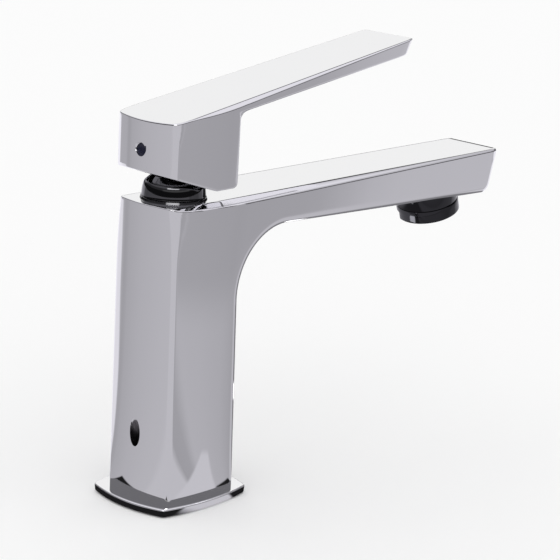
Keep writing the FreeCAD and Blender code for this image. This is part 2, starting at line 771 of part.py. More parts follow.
rotor = new_body("rotor")
revolve(rotor, [
    ("0", ROTOR_Z),
    (ROTOR_BODY, ROTOR_Z),
    (ROTOR_BODY, ROTOR_SHOULDER_Z),
    ("rotor_neck / 2", ROTOR_SHOULDER_Z),
    ("rotor_neck / 2", "column_top - nut_sunk"),
    ("0", "column_top - nut_sunk"),
])
rail_in = "(driver_width / 2 + rotor_gap)"
rail_length = "driver_length / 2"
for low_side, high_side in ((rail_in, f"{rail_in} + rail_width"), (f"-({rail_in} + rail_width)", f"-{rail_in}")):
    rail = pad(rotor, draw(new_sketch(rotor, "XY_Plane", ROTOR_Z),
                           rectangle(f"-{rail_length}", rail_length, low_side, high_side)), "driver_height")
    rail.Reversed = True
slot_end = "((stem_side + slot_swing) / 2)"
slot_side = "(stem_side / 2 + slot_fit)"
slot = rectangle(f"-{slot_end}", slot_end, f"-{slot_side}", slot_side)
pocket(rotor, draw(new_sketch(rotor, "XY_Plane", "column_top"), slot), f"column_top - {ROTOR_Z} + overrun / 2")
pin_hole = draw_circle(new_sketch(rotor, "XZ_Plane"), "0", PIVOT_Z, "pin_bore / 2")
pocket(rotor, pin_hole, "rotor_neck * 2", both_ways=True)
on_cartridge(rotor)
keep(ring("(rotor_neck / 2 + ring_section / 2)", CARTRIDGE_X, ROTOR_SHOULDER_Z), "rotor_seal")

pin_end = "(rotor_neck / 2 - pin_sunk)"
pivot_pin = keep(place(cylinder("pin_bore / 2", f"{pin_end} * 2"), CARTRIDGE_X, f"-{pin_end}", PIVOT_Z, "-90", (1, 0, 0)),
                 "pivot_pin")

# Nut: holds the cartridge down; the dome screws on its spigot

cartridge_nut = new_body("cartridge_nut")
revolve(cartridge_nut, [
    (NUT_BORE, SHOULDER_Z),
    (f"{NUT_THREAD} - nut_fit", SHOULDER_Z),
    (f"{NUT_THREAD} - nut_fit", "column_top - nut_sunk"),
    (SPIGOT, "column_top - nut_sunk"),
    (SPIGOT, NUT_TOP_Z),
    (NUT_BORE, NUT_TOP_Z),
])
notch = rectangle("-notch_width / 2", "notch_width / 2", "0", f"{SPIGOT} + overrun")
notch_cut = pocket(cartridge_nut, draw(new_sketch(cartridge_nut, "XY_Plane", NUT_TOP_Z), notch), "notch_depth")
around(cartridge_nut, notch_cut, 4)
on_cartridge(cartridge_nut)

# Dome: a thin chromed cap with a rim at its foot and a round hole that lets the stem swing

cartridge_dome = new_body("cartridge_dome")
spigot_room = f"({SPIGOT} + dome_fit)"
revolve(cartridge_dome, [
    (spigot_room, "column_top"),
    (DOME_RIM, "column_top"),
    (DOME_RIM, "column_top + dome_rim_height"),
    (DOME_FOOT, "column_top + dome_rim_height"),
    (f"{DOME_FOOT} - dome_draw", "column_top + dome_side_height"),
    ("dome_hole / 2", "column_top + dome_height"),
    ("dome_hole / 2", "column_top + dome_side_height - dome_wall"),
    (spigot_room, "column_top + dome_side_height - dome_wall"),
])
on_cartridge(cartridge_dome)

# Stem: square above the pivot, with a round waist and a short barrel at its end; it leans to the spout when shut


def on_stem(thing, up="0", out=None):
    """Place a piece on the leaning stem, up from the pivot; out turns it along the grub screw's axis."""
    lean = "stem_lean * 1deg"
    away = out or "0"
    return place(thing, f"{CARTRIDGE_X} + ({up}) * sin({lean}) - ({away}) * cos({lean})", "0",
                 f"{PIVOT_Z} + ({up}) * cos({lean}) + ({away}) * sin({lean})",
                 "stem_lean" if out is None else "stem_lean - 90")


stem = new_body("stem")
square = rectangle("-stem_side / 2", "stem_side / 2", "-stem_side / 2", "stem_side / 2")
pad(stem, draw(new_sketch(stem, "XY_Plane", "-stem_foot"), square), "stem_foot + stem_length")
revolve(stem, [
    ("0", f"-{BALL_DROP} - ball / 4"),
    ("ball / 2", f"-{BALL_DROP} - ball / 4"),
    ("ball / 2", f"-{BALL_DROP} + ball / 4"),
    ("stem_waist / 2", f"-{BALL_DROP} + ball / 4"),
    ("stem_waist / 2", "-stem_foot"),
    ("0", "-stem_foot"),
])
pin_way = draw_circle(new_sketch(stem, "XZ_Plane"), "0", "0", "pin_bore / 2 + pin_fit")
pocket(stem, pin_way, "stem_side * 2", both_ways=True)
on_stem(stem)

# Lever: a block over the dome and a long arm that rises to its tip


def lever_profile():
    """Side view of block and arm."""
    rear = "(cartridge_back + lever_rear + overrun)"
    front = "(lever_front - cartridge_back)"
    flat = f"({front} - block_flat)"
    fall = f"(block_rear_rise / (cartridge_back + lever_rear + {flat}))"
    rise = "tan(lever_slope * 1deg)"
    under = f"({LEVER_TOP} + {front} * {rise} - arm_root)"
    arm = "arm_slope * 1deg"
    tangent = f"(block_fillet * tan((90deg - {arm}) / 2))"
    tip_z = f"({LEVER_TOP} + lever_reach * {rise})"
    tip = "lever_tip_lean * 1deg"
    slant = f"(({tip_z} - {under} - (lever_reach - {front}) * tan({arm})) / (cos({tip}) - tan({arm}) * sin({tip})))"
    return [
        (f"-{rear}", f"{BLOCK_BOTTOM} + block_rear_rise + overrun * {fall}"),
        (flat, BLOCK_BOTTOM),
        (f"{front} - block_toe", BLOCK_BOTTOM, ("bow", "block_toe * (1 - cos(45deg))")),
        (front, f"{BLOCK_BOTTOM} + block_toe"),
        (front, f"{under} - {tangent}", ("radius", "block_fillet")),
        (f"{front} + {tangent} * cos({arm})", f"{under} + {tangent} * sin({arm})"),
        (f"lever_reach - {slant} * sin({tip})", f"{tip_z} - {slant} * cos({tip})"),
        ("lever_reach", tip_z),
        (f"-{rear}", f"{LEVER_TOP} - {rear} * {rise}"),
    ]


def lever_plan(flare):
    """Plan of block and arm at one height, with rounded rear creases; flare widens the top."""
    rise, inner = rear_round("lever_corner_half", "lever_rear_bow")
    rear = "(cartridge_back + lever_rear)"
    side_x = f"(-({rear} - lever_rear_bow) + crease)"
    front = "(lever_front - cartridge_back)"
    far = "(lever_reach + overrun)"
    crease_bow = ("bow", "crease * corner_share")
    return [
        (side_x, f"-(lever_corner_half + {flare})", ("bow", "lever_side_bow")),
        (front, f"-(lever_half + {flare})"),
        (far, "-(lever_tip_half)"),
        (far, "lever_tip_half"),
        (front, f"lever_half + {flare}", ("bow", "lever_side_bow")),
        (side_x, f"lever_corner_half + {flare}", crease_bow),
        (f"{rise} - {rear}", inner, ("bow", rise)),
        (f"{rise} - {rear}", f"-{inner}", crease_bow),
    ]


lever_high = f"({LEVER_TOP} + lever_reach * tan(lever_slope * 1deg) + overrun)"
lever_side = extrude(draw(new_sketch(None, "XZ_Plane"), lever_profile()), "(lever_half + lever_flare + overrun) * 2",
                     both_ways=True)
lever_over = loft([draw(new_sketch(None, "XY_Plane", f"{BLOCK_BOTTOM} - overrun"), lever_plan("0")),
                   draw(new_sketch(None, "XY_Plane", lever_high), lever_plan("lever_flare"))], ruled=True)
lever_blank = common(lever_side, lever_over)
tip_top = f"({LEVER_TOP} + lever_reach * tan(lever_slope * 1deg))"
lever_broken = break_edges(lever_blank, [
    (size("lever_reach - arm_root / 4"), side * size("lever_tip_half"), size(f"{tip_top} - arm_root / 2")) for side in (-1, 1)
], "lever_tip_corner")
lever_rise = "tan(lever_slope * 1deg)"
lever_cut = Part.makeLoft([
    bevel_section("-(cartridge_back + lever_rear + overrun)",
                  f"{LEVER_TOP} - (cartridge_back + lever_rear + overrun) * {lever_rise}",
                  "lever_half + lever_flare", "lever_bevel", "lever_bevel_drop"),
    bevel_section("lever_reach + overrun", f"{LEVER_TOP} + (lever_reach + overrun) * {lever_rise}",
                  "lever_tip_half", "lever_bevel", "lever_bevel_drop"),
], True, True)
lever_bevelled = cut(lever_broken, both_sides(lever_cut))
cavity = place(cylinder(CAVITY, f"{PIVOT_Z} + cavity_top - {BLOCK_BOTTOM} + overrun"), CARTRIDGE_X, "0",
               f"{BLOCK_BOTTOM} - overrun")
socket_sketch = draw(new_sketch(None, "XY_Plane"), rectangle("-stem_side / 2", "stem_side / 2",
                                                             "-stem_side / 2 - stem_fit", "stem_side / 2 + stem_fit"))
stem_socket = extrude(socket_sketch, "stem_length - cavity_top + overrun + stem_fit")
stem_way = doc.addObject("Part::Compound", "Way")
stem_way.Links = [stem_socket]
on_stem(stem_way, "cavity_top - overrun")

# Grub screw: clamps the stem from the rear along a hole square to the stem, closed by a small plug

rear_out = "((lever_rear + screw_reach * sin(stem_lean * 1deg)) / cos(stem_lean * 1deg))"
plug_in = f"({rear_out} - plug_sunk - plug_length)"
screw_hole = on_stem(cylinder("screw_thread / 2", f"{rear_out} + overrun"), "screw_reach", "0")
plug_hole = on_stem(cylinder("plug_body / 2", "plug_sunk + plug_length + overrun"), "screw_reach", plug_in)
lever_handle = keep(cut(lever_bevelled, cavity, stem_way, screw_hole, plug_hole), "lever_handle")

grub_screw = new_body("grub_screw")
pad(grub_screw, draw_circle(new_sketch(grub_screw, "XY_Plane"), "0", "0", "screw_thread / 2"), "screw_length")
across = "screw_key / 2"
corner = "screw_key / 2 / cos(30deg)"
hexagon = [(corner, "0"), (f"{corner} / 2", across), (f"-({corner}) / 2", across),
           (f"-({corner})", "0"), (f"-({corner}) / 2", f"-({across})"), (f"{corner} / 2", f"-({across})")]
pocket(grub_screw, draw(new_sketch(grub_screw, "XY_Plane", "screw_length"), hexagon), "screw_length / 2")
on_stem(grub_screw, "screw_reach", "stem_side / 2")

screw_plug = new_body("screw_plug")
pad(screw_plug, draw_circle(new_sketch(screw_plug, "XY_Plane"), "0", "0", "plug_body / 2"), "plug_length")
on_stem(screw_plug, "screw_reach", plug_in)

# Aerator: a bezel that screws into the boss and holds the insert, its screen and a sealing washer


def turned(corners, angle):
    """Corners turned about the origin by an angle formula."""
    spin = [f"{part}({angle} * 1deg)" for part in ("cos", "sin")]
    return [(f"({x}) * {spin[0]} - ({y}) * {spin[1]}", f"({x}) * {spin[1]} + ({y}) * {spin[0]}") for x, y in corners]


spigot_end = "(bezel_height + thread_height)"
aerator_bezel = new_body("aerator_bezel")
revolve(aerator_bezel, [
    ("bezel_mouth / 2", "0"),
    ("bezel / 2", "0"),
    ("bezel / 2", "bezel_height"),
    ("aerator_thread / 2 - thread_fit", "bezel_height"),
    ("aerator_thread / 2 - thread_fit", spigot_end),
    ("insert_body / 2", spigot_end),
    ("insert_body / 2", "bezel_lip"),
    ("bezel_mouth / 2", "bezel_lip"),
])
flat = turned(rectangle("bezel_flat", "bezel", "-bezel", "bezel"), "flat_turn")
pocket(aerator_bezel, draw(new_sketch(aerator_bezel, "XY_Plane"), flat), "flat_height", upward=True)
on_outlet(aerator_bezel)


def perforated(label, bottom, height, hole, rings):
    """A round plate in the aerator with a square hole in its middle and rings of more round it."""
    body = new_body(label)
    pad(body, draw_circle(new_sketch(body, "XY_Plane", bottom), "0", "0", "insert_body / 2"), height)
    for count, middle in ((1, "0"), *rings):
        corners = rectangle(f"{middle} - {hole} / 2", f"{middle} + {hole} / 2", f"-{hole} / 2", f"{hole} / 2")
        opening = pocket(body, draw(new_sketch(body, "XY_Plane", bottom), corners), height, upward=True)
        if count > 1:
            around(body, opening, count)
    return on_outlet(body)


insert_height = f"({spigot_end} + seam - bezel_lip - screen_height - washer_height)"
inner_holes = (6, "insert_ring")
perforated("aerator_insert", "bezel_lip", insert_height, "insert_hole", (inner_holes, (12, "insert_ring * 2")))
perforated("aerator_screen", f"bezel_lip + {insert_height}", "screen_height", "screen_hole", (inner_holes,))

washer_low = f"({spigot_end} + seam - washer_height)"
keep(on_outlet(flat_ring("insert_body / 2", "washer_bore / 2", "washer_height"), washer_low), "aerator_washer")

doc.recompute()
for thing in doc.Objects:
    if "Invalid" in thing.State or "Error" in thing.State:
        raise RuntimeError(f"{thing.Label} failed")
os.makedirs("parts", exist_ok=True)
for thing in nodes:
    if thing.Shape.isNull() or not thing.Shape.isValid():
        raise RuntimeError(f"{thing.Label} has no valid solid")
    thing.Shape.exportStep(f"parts/{thing.Label}.step")
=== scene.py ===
import math

import bmesh
import bpy
import numpy as np
from mathutils import Matrix, Vector


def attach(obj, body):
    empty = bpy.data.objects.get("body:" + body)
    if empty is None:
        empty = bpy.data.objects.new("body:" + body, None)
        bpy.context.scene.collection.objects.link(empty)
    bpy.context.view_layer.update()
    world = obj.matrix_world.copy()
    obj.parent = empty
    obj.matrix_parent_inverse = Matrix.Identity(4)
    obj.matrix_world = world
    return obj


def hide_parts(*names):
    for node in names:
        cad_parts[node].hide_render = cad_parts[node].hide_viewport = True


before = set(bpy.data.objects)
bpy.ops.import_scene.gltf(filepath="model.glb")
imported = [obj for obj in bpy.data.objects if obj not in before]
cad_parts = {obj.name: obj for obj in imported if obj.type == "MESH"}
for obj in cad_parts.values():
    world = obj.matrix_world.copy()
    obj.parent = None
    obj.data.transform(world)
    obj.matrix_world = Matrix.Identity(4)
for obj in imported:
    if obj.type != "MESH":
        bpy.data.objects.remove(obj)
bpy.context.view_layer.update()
bpy.context.scene.view_settings.view_transform = "Standard"

# Camera. It stands behind the tap and to the right of it, higher than the lever, with a long lens and a
# roll of under three degrees, as a fit to the outline of column, spout, lever and plate gave it.

look_yaw = math.radians(42.93)
look_pitch = math.radians(15.18)
camera_roll = math.radians(2.80)
camera_place = (-0.57816, -0.59152, 0.31246)
focal_length = 143.80
forward = Vector((math.cos(look_yaw) * math.cos(look_pitch), math.sin(look_yaw) * math.cos(look_pitch),
                  -math.sin(look_pitch)))
level_right = Vector((math.sin(look_yaw), -math.cos(look_yaw), 0.0))
level_up = level_right.cross(forward)
camera_right = math.cos(camera_roll) * level_right + math.sin(camera_roll) * level_up
camera_up = -math.sin(camera_roll) * level_right + math.cos(camera_roll) * level_up
camera_data = bpy.data.cameras.new("camera")
camera_data.sensor_width = 36.0
camera_data.lens = focal_length
camera_data.clip_start = 0.01
camera_data.clip_end = 20.0
camera = bpy.data.objects.new("camera", camera_data)
bpy.context.scene.collection.objects.link(camera)
camera_axes = Matrix((camera_right, camera_up, -forward)).transposed()
camera.matrix_world = Matrix.Translation(camera_place) @ camera_axes.to_4x4()
bpy.context.scene.camera = camera

# Studio. A white sweep stands behind the tap and a soft light hangs over the camera. The rest of the
# room is dark low down and grows light upwards, over a floor of cool mid greys. The camera and matt
# surfaces see plain white, and what is polished sees the room.


def add_node(tree, kind, inputs=None, **settings):
    """A shader node with its settings, and its inputs given as numbers, colours or sockets to link."""
    node = tree.nodes.new(kind)
    for key, value in settings.items():
        setattr(node, key, value)
    for key, value in (inputs or {}).items():
        if isinstance(value, bpy.types.NodeSocket):
            tree.links.new(value, node.inputs[key])
        else:
            node.inputs[key].default_value = value
    return node


def sums(tree, operation, *values):
    """One Math node's result."""
    return add_node(tree, "ShaderNodeMath", dict(enumerate(values)), operation=operation).outputs[0]


def ease(tree, value, start, end, low=0.0, high=1.0):
    """low before start, high after end, and a smooth step between them."""
    limits = {"Value": value, "From Min": start, "From Max": end, "To Min": low, "To Max": high}
    step = add_node(tree, "ShaderNodeMapRange", limits, interpolation_type="SMOOTHSTEP")
    return step.outputs["Result"]


def between(tree, share, first, second):
    """A colour that goes from the first to the second with share."""
    mix = add_node(tree, "ShaderNodeMix", {0: share, 6: first, 7: second}, data_type="RGBA")
    return mix.outputs[2]


def cool(level):
    """A grey whose blue stands a little above its red and green."""
    return (level * 0.988, level * 0.97, level * 1.045, 1.0)


def window(tree, value, start, end, soft):
    """1 between start and end, 0 outside, with a soft edge on either side."""
    opening = ease(tree, value, start - soft, start + soft)
    return sums(tree, "MULTIPLY", opening, ease(tree, value, end + soft, end - soft))


def turned(tree, east, north):
    """The bearing of a direction in degrees, from 0 to 360."""
    bearing = sums(tree, "MULTIPLY", sums(tree, "ARCTAN2", north, east), 180.0 / math.pi)
    return sums(tree, "FLOORED_MODULO", bearing, 360.0)


world = bpy.data.worlds.new("studio")
bpy.context.scene.world = world
world.use_nodes = True
room = world.node_tree
room.nodes.clear()
way = add_node(room, "ShaderNodeTexCoord").outputs["Generated"]
way = add_node(room, "ShaderNodeSeparateXYZ", {0: way}).outputs
bearing = turned(room, way["X"], way["Y"])
height = way["Z"]
mirrored = between(room, ease(room, height, 0.17, 0.24), cool(0.04), cool(0.16))
mirrored = between(room, ease(room, height, 0.38, 0.48), mirrored, cool(0.50))
mirrored = between(room, ease(room, height, 0.59, 0.70), mirrored, cool(0.80))
for level, sides, heights in (
    (0.91, (22, 88, 8), (0.15, 0.54, 0.03)),      # the sweep behind the tap
    (0.04, (24, 39, 2), (0.42, 0.80, 0.03)),      # a dark card that draws the top edges
    (0.40, (185, 285, 6), (0.19, 0.31, 0.02)),    # the pale wall behind the camera
    (4.50, (200, 247, 3), (0.41, 0.59, 0.015)),   # the soft light over the camera
):
    card = sums(room, "MULTIPLY", window(room, bearing, *sides), window(room, height, *heights))
    mirrored = between(room, card, mirrored, (level, level, level, 1))
rays = add_node(room, "ShaderNodeLightPath").outputs
polished = sums(room, "ADD", rays["Is Glossy Ray"], rays["Is Transmission Ray"])
seen = between(room, polished, (1, 1, 1, 1), mirrored)
backdrop = add_node(room, "ShaderNodeBackground", {"Color": seen})
add_node(room, "ShaderNodeOutputWorld", {"Surface": backdrop.outputs[0]})

floor_mesh = bpy.data.meshes.new("floor")
floor_mesh.from_pydata([(-6, -6, 0), (6, -6, 0), (6, 6, 0), (-6, 6, 0)], [], [(0, 1, 2, 3)])
floor = bpy.data.objects.new("floor", floor_mesh)
bpy.context.scene.collection.objects.link(floor)
paper = bpy.data.materials.new("paper")
paper.use_nodes = True
tree = paper.node_tree
tree.nodes.clear()
# Places on the floor are in millimetres, and bearings in degrees. The floor's greys go by bearing, as the
# column's faces and creases mirror them.
place = add_node(tree, "ShaderNodeTexCoord").outputs["Object"]
place = add_node(tree, "ShaderNodeVectorMath", {0: place, "Scale": 1000.0}, operation="SCALE").outputs[0]
far = add_node(tree, "ShaderNodeVectorMath", {0: place}, operation="LENGTH").outputs["Value"]
place = add_node(tree, "ShaderNodeSeparateXYZ", {0: place}).outputs
bearing = turned(tree, place["X"], place["Y"])
around = add_node(tree, "ShaderNodeValToRGB", {0: sums(tree, "DIVIDE", bearing, 360.0)})
stops = around.color_ramp.elements
for degrees, level in (
    (2, 0.40), (95, 0.43), (112, 0.42), (115, 0.365), (118, 0.38), (121, 0.41), (137, 0.45), (160, 0.48),
    (172, 0.49), (178, 0.53), (280, 0.53), (284, 0.36), (291, 0.37), (296, 0.46), (305, 0.45),
    (315, 0.425), (320, 0.39), (323, 0.37), (327, 0.50), (338, 0.52), (346, 0.40),
):
    stops.new(degrees / 360.0).color = cool(level)
stops.remove(stops[0])
stops.remove(stops[-1])
mirrored = around.outputs["Color"]
shade = sums(tree, "MULTIPLY", window(tree, bearing, 295, 320, 4), ease(tree, far, 250, 380, 0.0, 0.5))
mirrored = between(tree, shade, mirrored, cool(0.30))
# What lies right of the tap is dark nearby, for the dark line along the column's front, and bright beyond.
right = window(tree, sums(tree, "FLOORED_MODULO", sums(tree, "ADD", bearing, 90.0), 360.0), 75, 133, 3)
mirrored = between(tree, right, mirrored, between(tree, ease(tree, far, 290, 330), cool(0.20), cool(0.85)))
# The white sweep's left edge, which draws the bright strip on the column's left, turns in beyond 55 cm.
edge = sums(tree, "SUBTRACT", bearing, sums(tree, "ADD", ease(tree, far, 150, 340, 113.8, 111.2),
                                            ease(tree, far, 545, 600, 0.0, -12.0)))
sweep = sums(tree, "MULTIPLY", ease(tree, edge, 1.2, -1.2), ease(tree, bearing, 43, 48))
mirrored = between(tree, sweep, mirrored, between(tree, ease(tree, bearing, 108, 99), cool(0.76), cool(0.93)))
# Painted shade round the plate: a near-black zone of the floor, seen only in reflections, that the plate's
# rim mirrors as black. On it lies a painted light streak towards the right front.
past_end = sums(tree, "SUBTRACT", sums(tree, "ABSOLUTE", place["X"]), 25.9)
past_side = sums(tree, "SUBTRACT", sums(tree, "ABSOLUTE", place["Y"]), 22.7)
near = sums(tree, "MAXIMUM", past_end, past_side)
mirrored = between(tree, ease(tree, near, 6.6, 5.0), mirrored, cool(0.012))
# The painted light streak: a pale band of the floor that only reflections see, narrowing outwards.
diagonal = 0.7071
along = sums(tree, "MULTIPLY", sums(tree, "SUBTRACT", place["X"], place["Y"]), diagonal)
aside = sums(tree, "MULTIPLY", sums(tree, "ADD", place["X"], place["Y"]), diagonal)
across = sums(tree, "ABSOLUTE", sums(tree, "ADD", aside, 15.5))
taper = {"Value": along, "From Min": 20.0, "From Max": 78.0, "To Min": 11.0, "To Max": 3.0}
painted_band_half = add_node(tree, "ShaderNodeMapRange", taper).outputs["Result"]
spread = sums(tree, "SUBTRACT", across, painted_band_half)
painted_light_streak = sums(tree, "MULTIPLY", ease(tree, spread, 1.2, -1.2), window(tree, along, 8, 76, 6))
mirrored = between(tree, painted_light_streak, mirrored, cool(0.57))
# Two glowing spots on the floor under the spout, seen only in reflections: painted highlights which only the
# dark aerator shows.
painted_glint = sums(tree, "MULTIPLY", window(tree, place["X"], 20, 62, 4), window(tree, place["Y"], 22, 70, 5))
mirrored = between(tree, painted_glint, mirrored, (6.0, 6.0, 6.2, 1))
beyond = sums(tree, "SUBTRACT", place["X"], 149.0)
off_outlet = sums(tree, "ADD", sums(tree, "POWER", beyond, 2.0), sums(tree, "POWER", place["Y"], 2.0))
off_outlet = sums(tree, "SQRT", off_outlet)
mirrored = between(tree, ease(tree, off_outlet, 16, 10), mirrored, (4.0, 4.0, 4.1, 1))
rays = add_node(tree, "ShaderNodeLightPath").outputs
polished = sums(tree, "ADD", rays["Is Glossy Ray"], rays["Is Transmission Ray"])
matt = add_node(tree, "ShaderNodeBsdfDiffuse", {"Color": (0.97, 0.97, 0.97, 1)})
shown = add_node(tree, "ShaderNodeEmission", {"Color": mirrored})
look = add_node(tree, "ShaderNodeMixShader", {0: polished, 1: matt.outputs[0], 2: shown.outputs[0]})
add_node(tree, "ShaderNodeOutputMaterial", {"Surface": look.outputs[0]})
floor_mesh.materials.append(paper)

# Base gasket: a flat sheet of black rubber in the plate's recess, a little proud of it, on the counter.
# It comes from the frame and gets its finish here.


def new_finish(name, colour, roughness, metallic=0.0, **inputs):
    """A material with one Principled shader, and its Object coordinates for the patterns on it."""
    material = bpy.data.materials.new(name)
    material.use_nodes = True
    shader = material.node_tree.nodes["Principled BSDF"]
    settings = {"Base Color": (*colour, 1), "Roughness": roughness, "Metallic": metallic, **inputs}
    for key, value in settings.items():
        shader.inputs[key].default_value = value
    where = add_node(material.node_tree, "ShaderNodeTexCoord").outputs["Object"]
    return material, material.node_tree, shader, where


def noise(tree, where, per_metre, stretch=(1, 1, 1), detail=2.0):
    """Noise with so many waves to the metre, drawn out along an axis where stretch is below one."""
    placed = add_node(tree, "ShaderNodeMapping", {"Vector": where, "Scale": stretch}).outputs[0]
    pattern = {"Vector": placed, "Scale": per_metre, "Detail": detail, "Roughness": 0.5}
    return add_node(tree, "ShaderNodeTexNoise", pattern).outputs["Fac"]


def bump(tree, shader, height, strength, distance):
    """Surface relief from a height between 0 and 1, distance in metres at full strength."""
    relief = add_node(tree, "ShaderNodeBump", {"Height": height, "Strength": strength, "Distance": distance})
    tree.links.new(relief.outputs[0], shader.inputs["Normal"])


def coat(node_name, material):
    """Give a carried-over node this material."""
    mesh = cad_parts[node_name].data
    mesh.materials.clear()
    mesh.materials.append(material)


rubber, tree, shader, where = new_finish("moulded_rubber", (0.018, 0.018, 0.019), 0.62)
chalk = noise(tree, where, 160, detail=4)
dusty = ease(tree, chalk, 0.45, 0.75)
tree.links.new(between(tree, dusty, (0.016, 0.016, 0.017, 1), (0.035, 0.035, 0.036, 1)),
               shader.inputs["Base Color"])
tree.links.new(ease(tree, chalk, 0.3, 0.7, 0.55, 0.75), shader.inputs["Roughness"])
bump(tree, shader, noise(tree, where, 2600, detail=3), 0.25, 0.00004)
coat("base_gasket", rubber)

# Base plate: a rosette of pressed brass, polished and chromed, with four bowed sides. The column's foot
# stands on it and the hoses pass through its round hole.


SHARP_ANGLE = math.radians(32.0)


def quilt(name, grids):
    """One closed, smoothly shaded mesh from grids of points in millimetres that meet edge to edge."""
    points, faces, base = [], [], 0
    for grid in grids:
        rows, columns = grid.shape[:2]
        number = base + np.arange(rows * columns).reshape(rows, columns)
        squares = np.stack([number[:-1, :-1], number[:-1, 1:], number[1:, 1:], number[1:, :-1]], axis=2)
        faces.append(squares.reshape(-1, 4))
        points.append(grid.reshape(-1, 3) / 1000.0)
        base += rows * columns
    mesh = bpy.data.meshes.new(name)
    mesh.from_pydata(np.concatenate(points), [], np.concatenate(faces))
    work = bmesh.new()
    work.from_mesh(mesh)
    bmesh.ops.remove_doubles(work, verts=work.verts, dist=2e-6)
    bmesh.ops.recalc_face_normals(work, faces=work.faces)
    work.to_mesh(mesh)
    work.free()
    mesh.shade_smooth()
    mesh.set_sharp_from_angle(angle=SHARP_ANGLE)
    piece = bpy.data.objects.new(name, mesh)
    bpy.context.scene.collection.objects.link(piece)
    return piece


def smooth_min(first, second, size):
    """The lower of two values, with their crossing rounded off over about the given size."""
    share = np.clip(0.5 + 0.5 * (second - first) / size, 0.0, 1.0)
    return second * (1 - share) + first * share - size * share * (1 - share)


PLATE_TOP = 3.45
PLATE_HOLE = 15.5
PLATE_CORNER = 0.7
# For a pair of edges: how far out the middle is, how far the edge falls back, and how far along it does so.
END_EDGES = (25.9, 3.3, 18.4)
SIDE_EDGES = (22.74, 2.75, 21.0)
angle = np.linspace(0, math.tau, 257)
east, north = np.cos(angle), np.sin(angle)
reaches = []
for across, along, (middle, bow, half) in ((east, north, END_EDGES), (north, east, SIDE_EDGES)):
    # Along a ray, a side is where across * r = middle - bow * (along * r / half) ** 2.
    bend = bow * (along / half) ** 2
    reaches.append(2 * middle / (np.abs(across) + np.sqrt(across ** 2 + 4 * bend * middle)))
plate_edge = smooth_min(*reaches, PLATE_CORNER)
# The rim in section, as (distance in from the edge, height): rounded top, slight draft, foot and recess.
plate_profile = [
    (0.5, PLATE_TOP), (0.38, 3.43), (0.22, 3.36), (0.09, 3.23), (0.02, 3.07), (0.0, 2.9), (0.11, 1.9),
    (0.23, 0.8), (0.27, 0.66), (0.36, 0.55), (0.5, 0.5), (1.4, 0.5), (2.6, 0.5), (2.6, 1.2),
]
rings = [(plate_edge - inset, height) for inset, height in plate_profile]
hole_edge = np.full_like(angle, PLATE_HOLE)
rings += [(hole_edge, 1.2), (hole_edge, PLATE_TOP)]
rings += [(hole_edge + (plate_edge - 0.5 - hole_edge) * share, PLATE_TOP) for share in (0.3, 0.6, 0.9, 1.0)]
grid = np.stack([np.stack([reach * east, reach * north, np.full_like(angle, height)], axis=1)
                 for reach, height in rings])
plate = quilt("plate", [grid])

chrome, tree, shader, where = new_finish("polished_chrome", (0.93, 0.93, 0.94), 0.045, 1.0)
film = noise(tree, where, 45, detail=4)
lines = noise(tree, where, 900, (1, 1, 0.04), detail=3)
# In the rod's slanting bore in the column's rear the chrome is rougher, and its colour is painted dark:
# painted shade inside the hole.
inside = add_node(tree, "ShaderNodeSeparateXYZ", {0: where}).outputs
painted_bore_shade = sums(tree, "MULTIPLY", window(tree, inside["X"], -0.0194, -0.002, 0.0002),
            sums(tree, "MULTIPLY", window(tree, inside["Y"], -0.0029, 0.0029, 0.00005),
                 window(tree, inside["Z"], 0.0037, 0.037, 0.0001)))
polish = sums(tree, "ADD", ease(tree, film, 0.35, 0.75, 0.03, 0.06), ease(tree, lines, 0.55, 0.8, 0.0, 0.035))
tree.links.new(sums(tree, "ADD", polish, sums(tree, "MULTIPLY", painted_bore_shade, 0.35)), shader.inputs["Roughness"])
plating = between(tree, film, (0.925, 0.925, 0.935, 1), (0.945, 0.945, 0.95, 1))
tree.links.new(between(tree, painted_bore_shade, plating, (0.22, 0.21, 0.22, 1)), shader.inputs["Base Color"])
bump(tree, shader, noise(tree, where, 55, (1, 1, 0.35), detail=1), 0.12, 0.0002)
plate.data.materials.append(chrome)
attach(plate, "tap_body")
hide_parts("base_plate")

# Casting: column, elbow and spout in one brass body, ground, polished and chromed. The rear face and the
# sides are bowed, the rear creases widen into the top corners, and the top edges carry a bevel that
# narrows towards the tip. The sockets, the rod's bore and the cartridge's pocket are drilled.

FOOT_Z = 3.45
TOP_Z = 119.2
REACH = 176.8
# The rear face's middle, how far it falls back at its corners, and how far out these are at the foot.
REAR_X = -19.8
REAR_BOW = 2.6
CORNER_HALF = 16.9
CREASE_CUT = 1.6
FLARE_Z = 95.0
# The sides bow over BOW_HALF on either side of BOW_MIDDLE, and run straight from SPOUT_X on.
BOW_MIDDLE = 2.4
BOW_HALF = 18.0
SPOUT_X = 20.4
SPOUT_RUN = 159.4
# The front climbs to the knee, where the elbow's arc of the radius ELBOW leads into the underside.
KNEE_X = 16.3
KNEE_Z = 79.5
KNEE_LEAN = 1.6
ELBOW = 26.5
HEEL_ROUND = 4.0
EDGE_ROUND = 3.2
UNDER = math.radians(2.46)
TIP = math.radians(15.0)
ELBOW_END = (KNEE_X + ELBOW * (1 + math.sin(UNDER)), KNEE_Z + ELBOW * math.cos(UNDER))
HEEL_X = ((REACH - math.tan(TIP) * (TOP_Z - ELBOW_END[1]) + math.tan(TIP) * math.tan(UNDER) * ELBOW_END[0])
          / (1 + math.tan(TIP) * math.tan(UNDER)))
HEEL = (HEEL_X, ELBOW_END[1] - (HEEL_X - ELBOW_END[0]) * math.tan(UNDER))


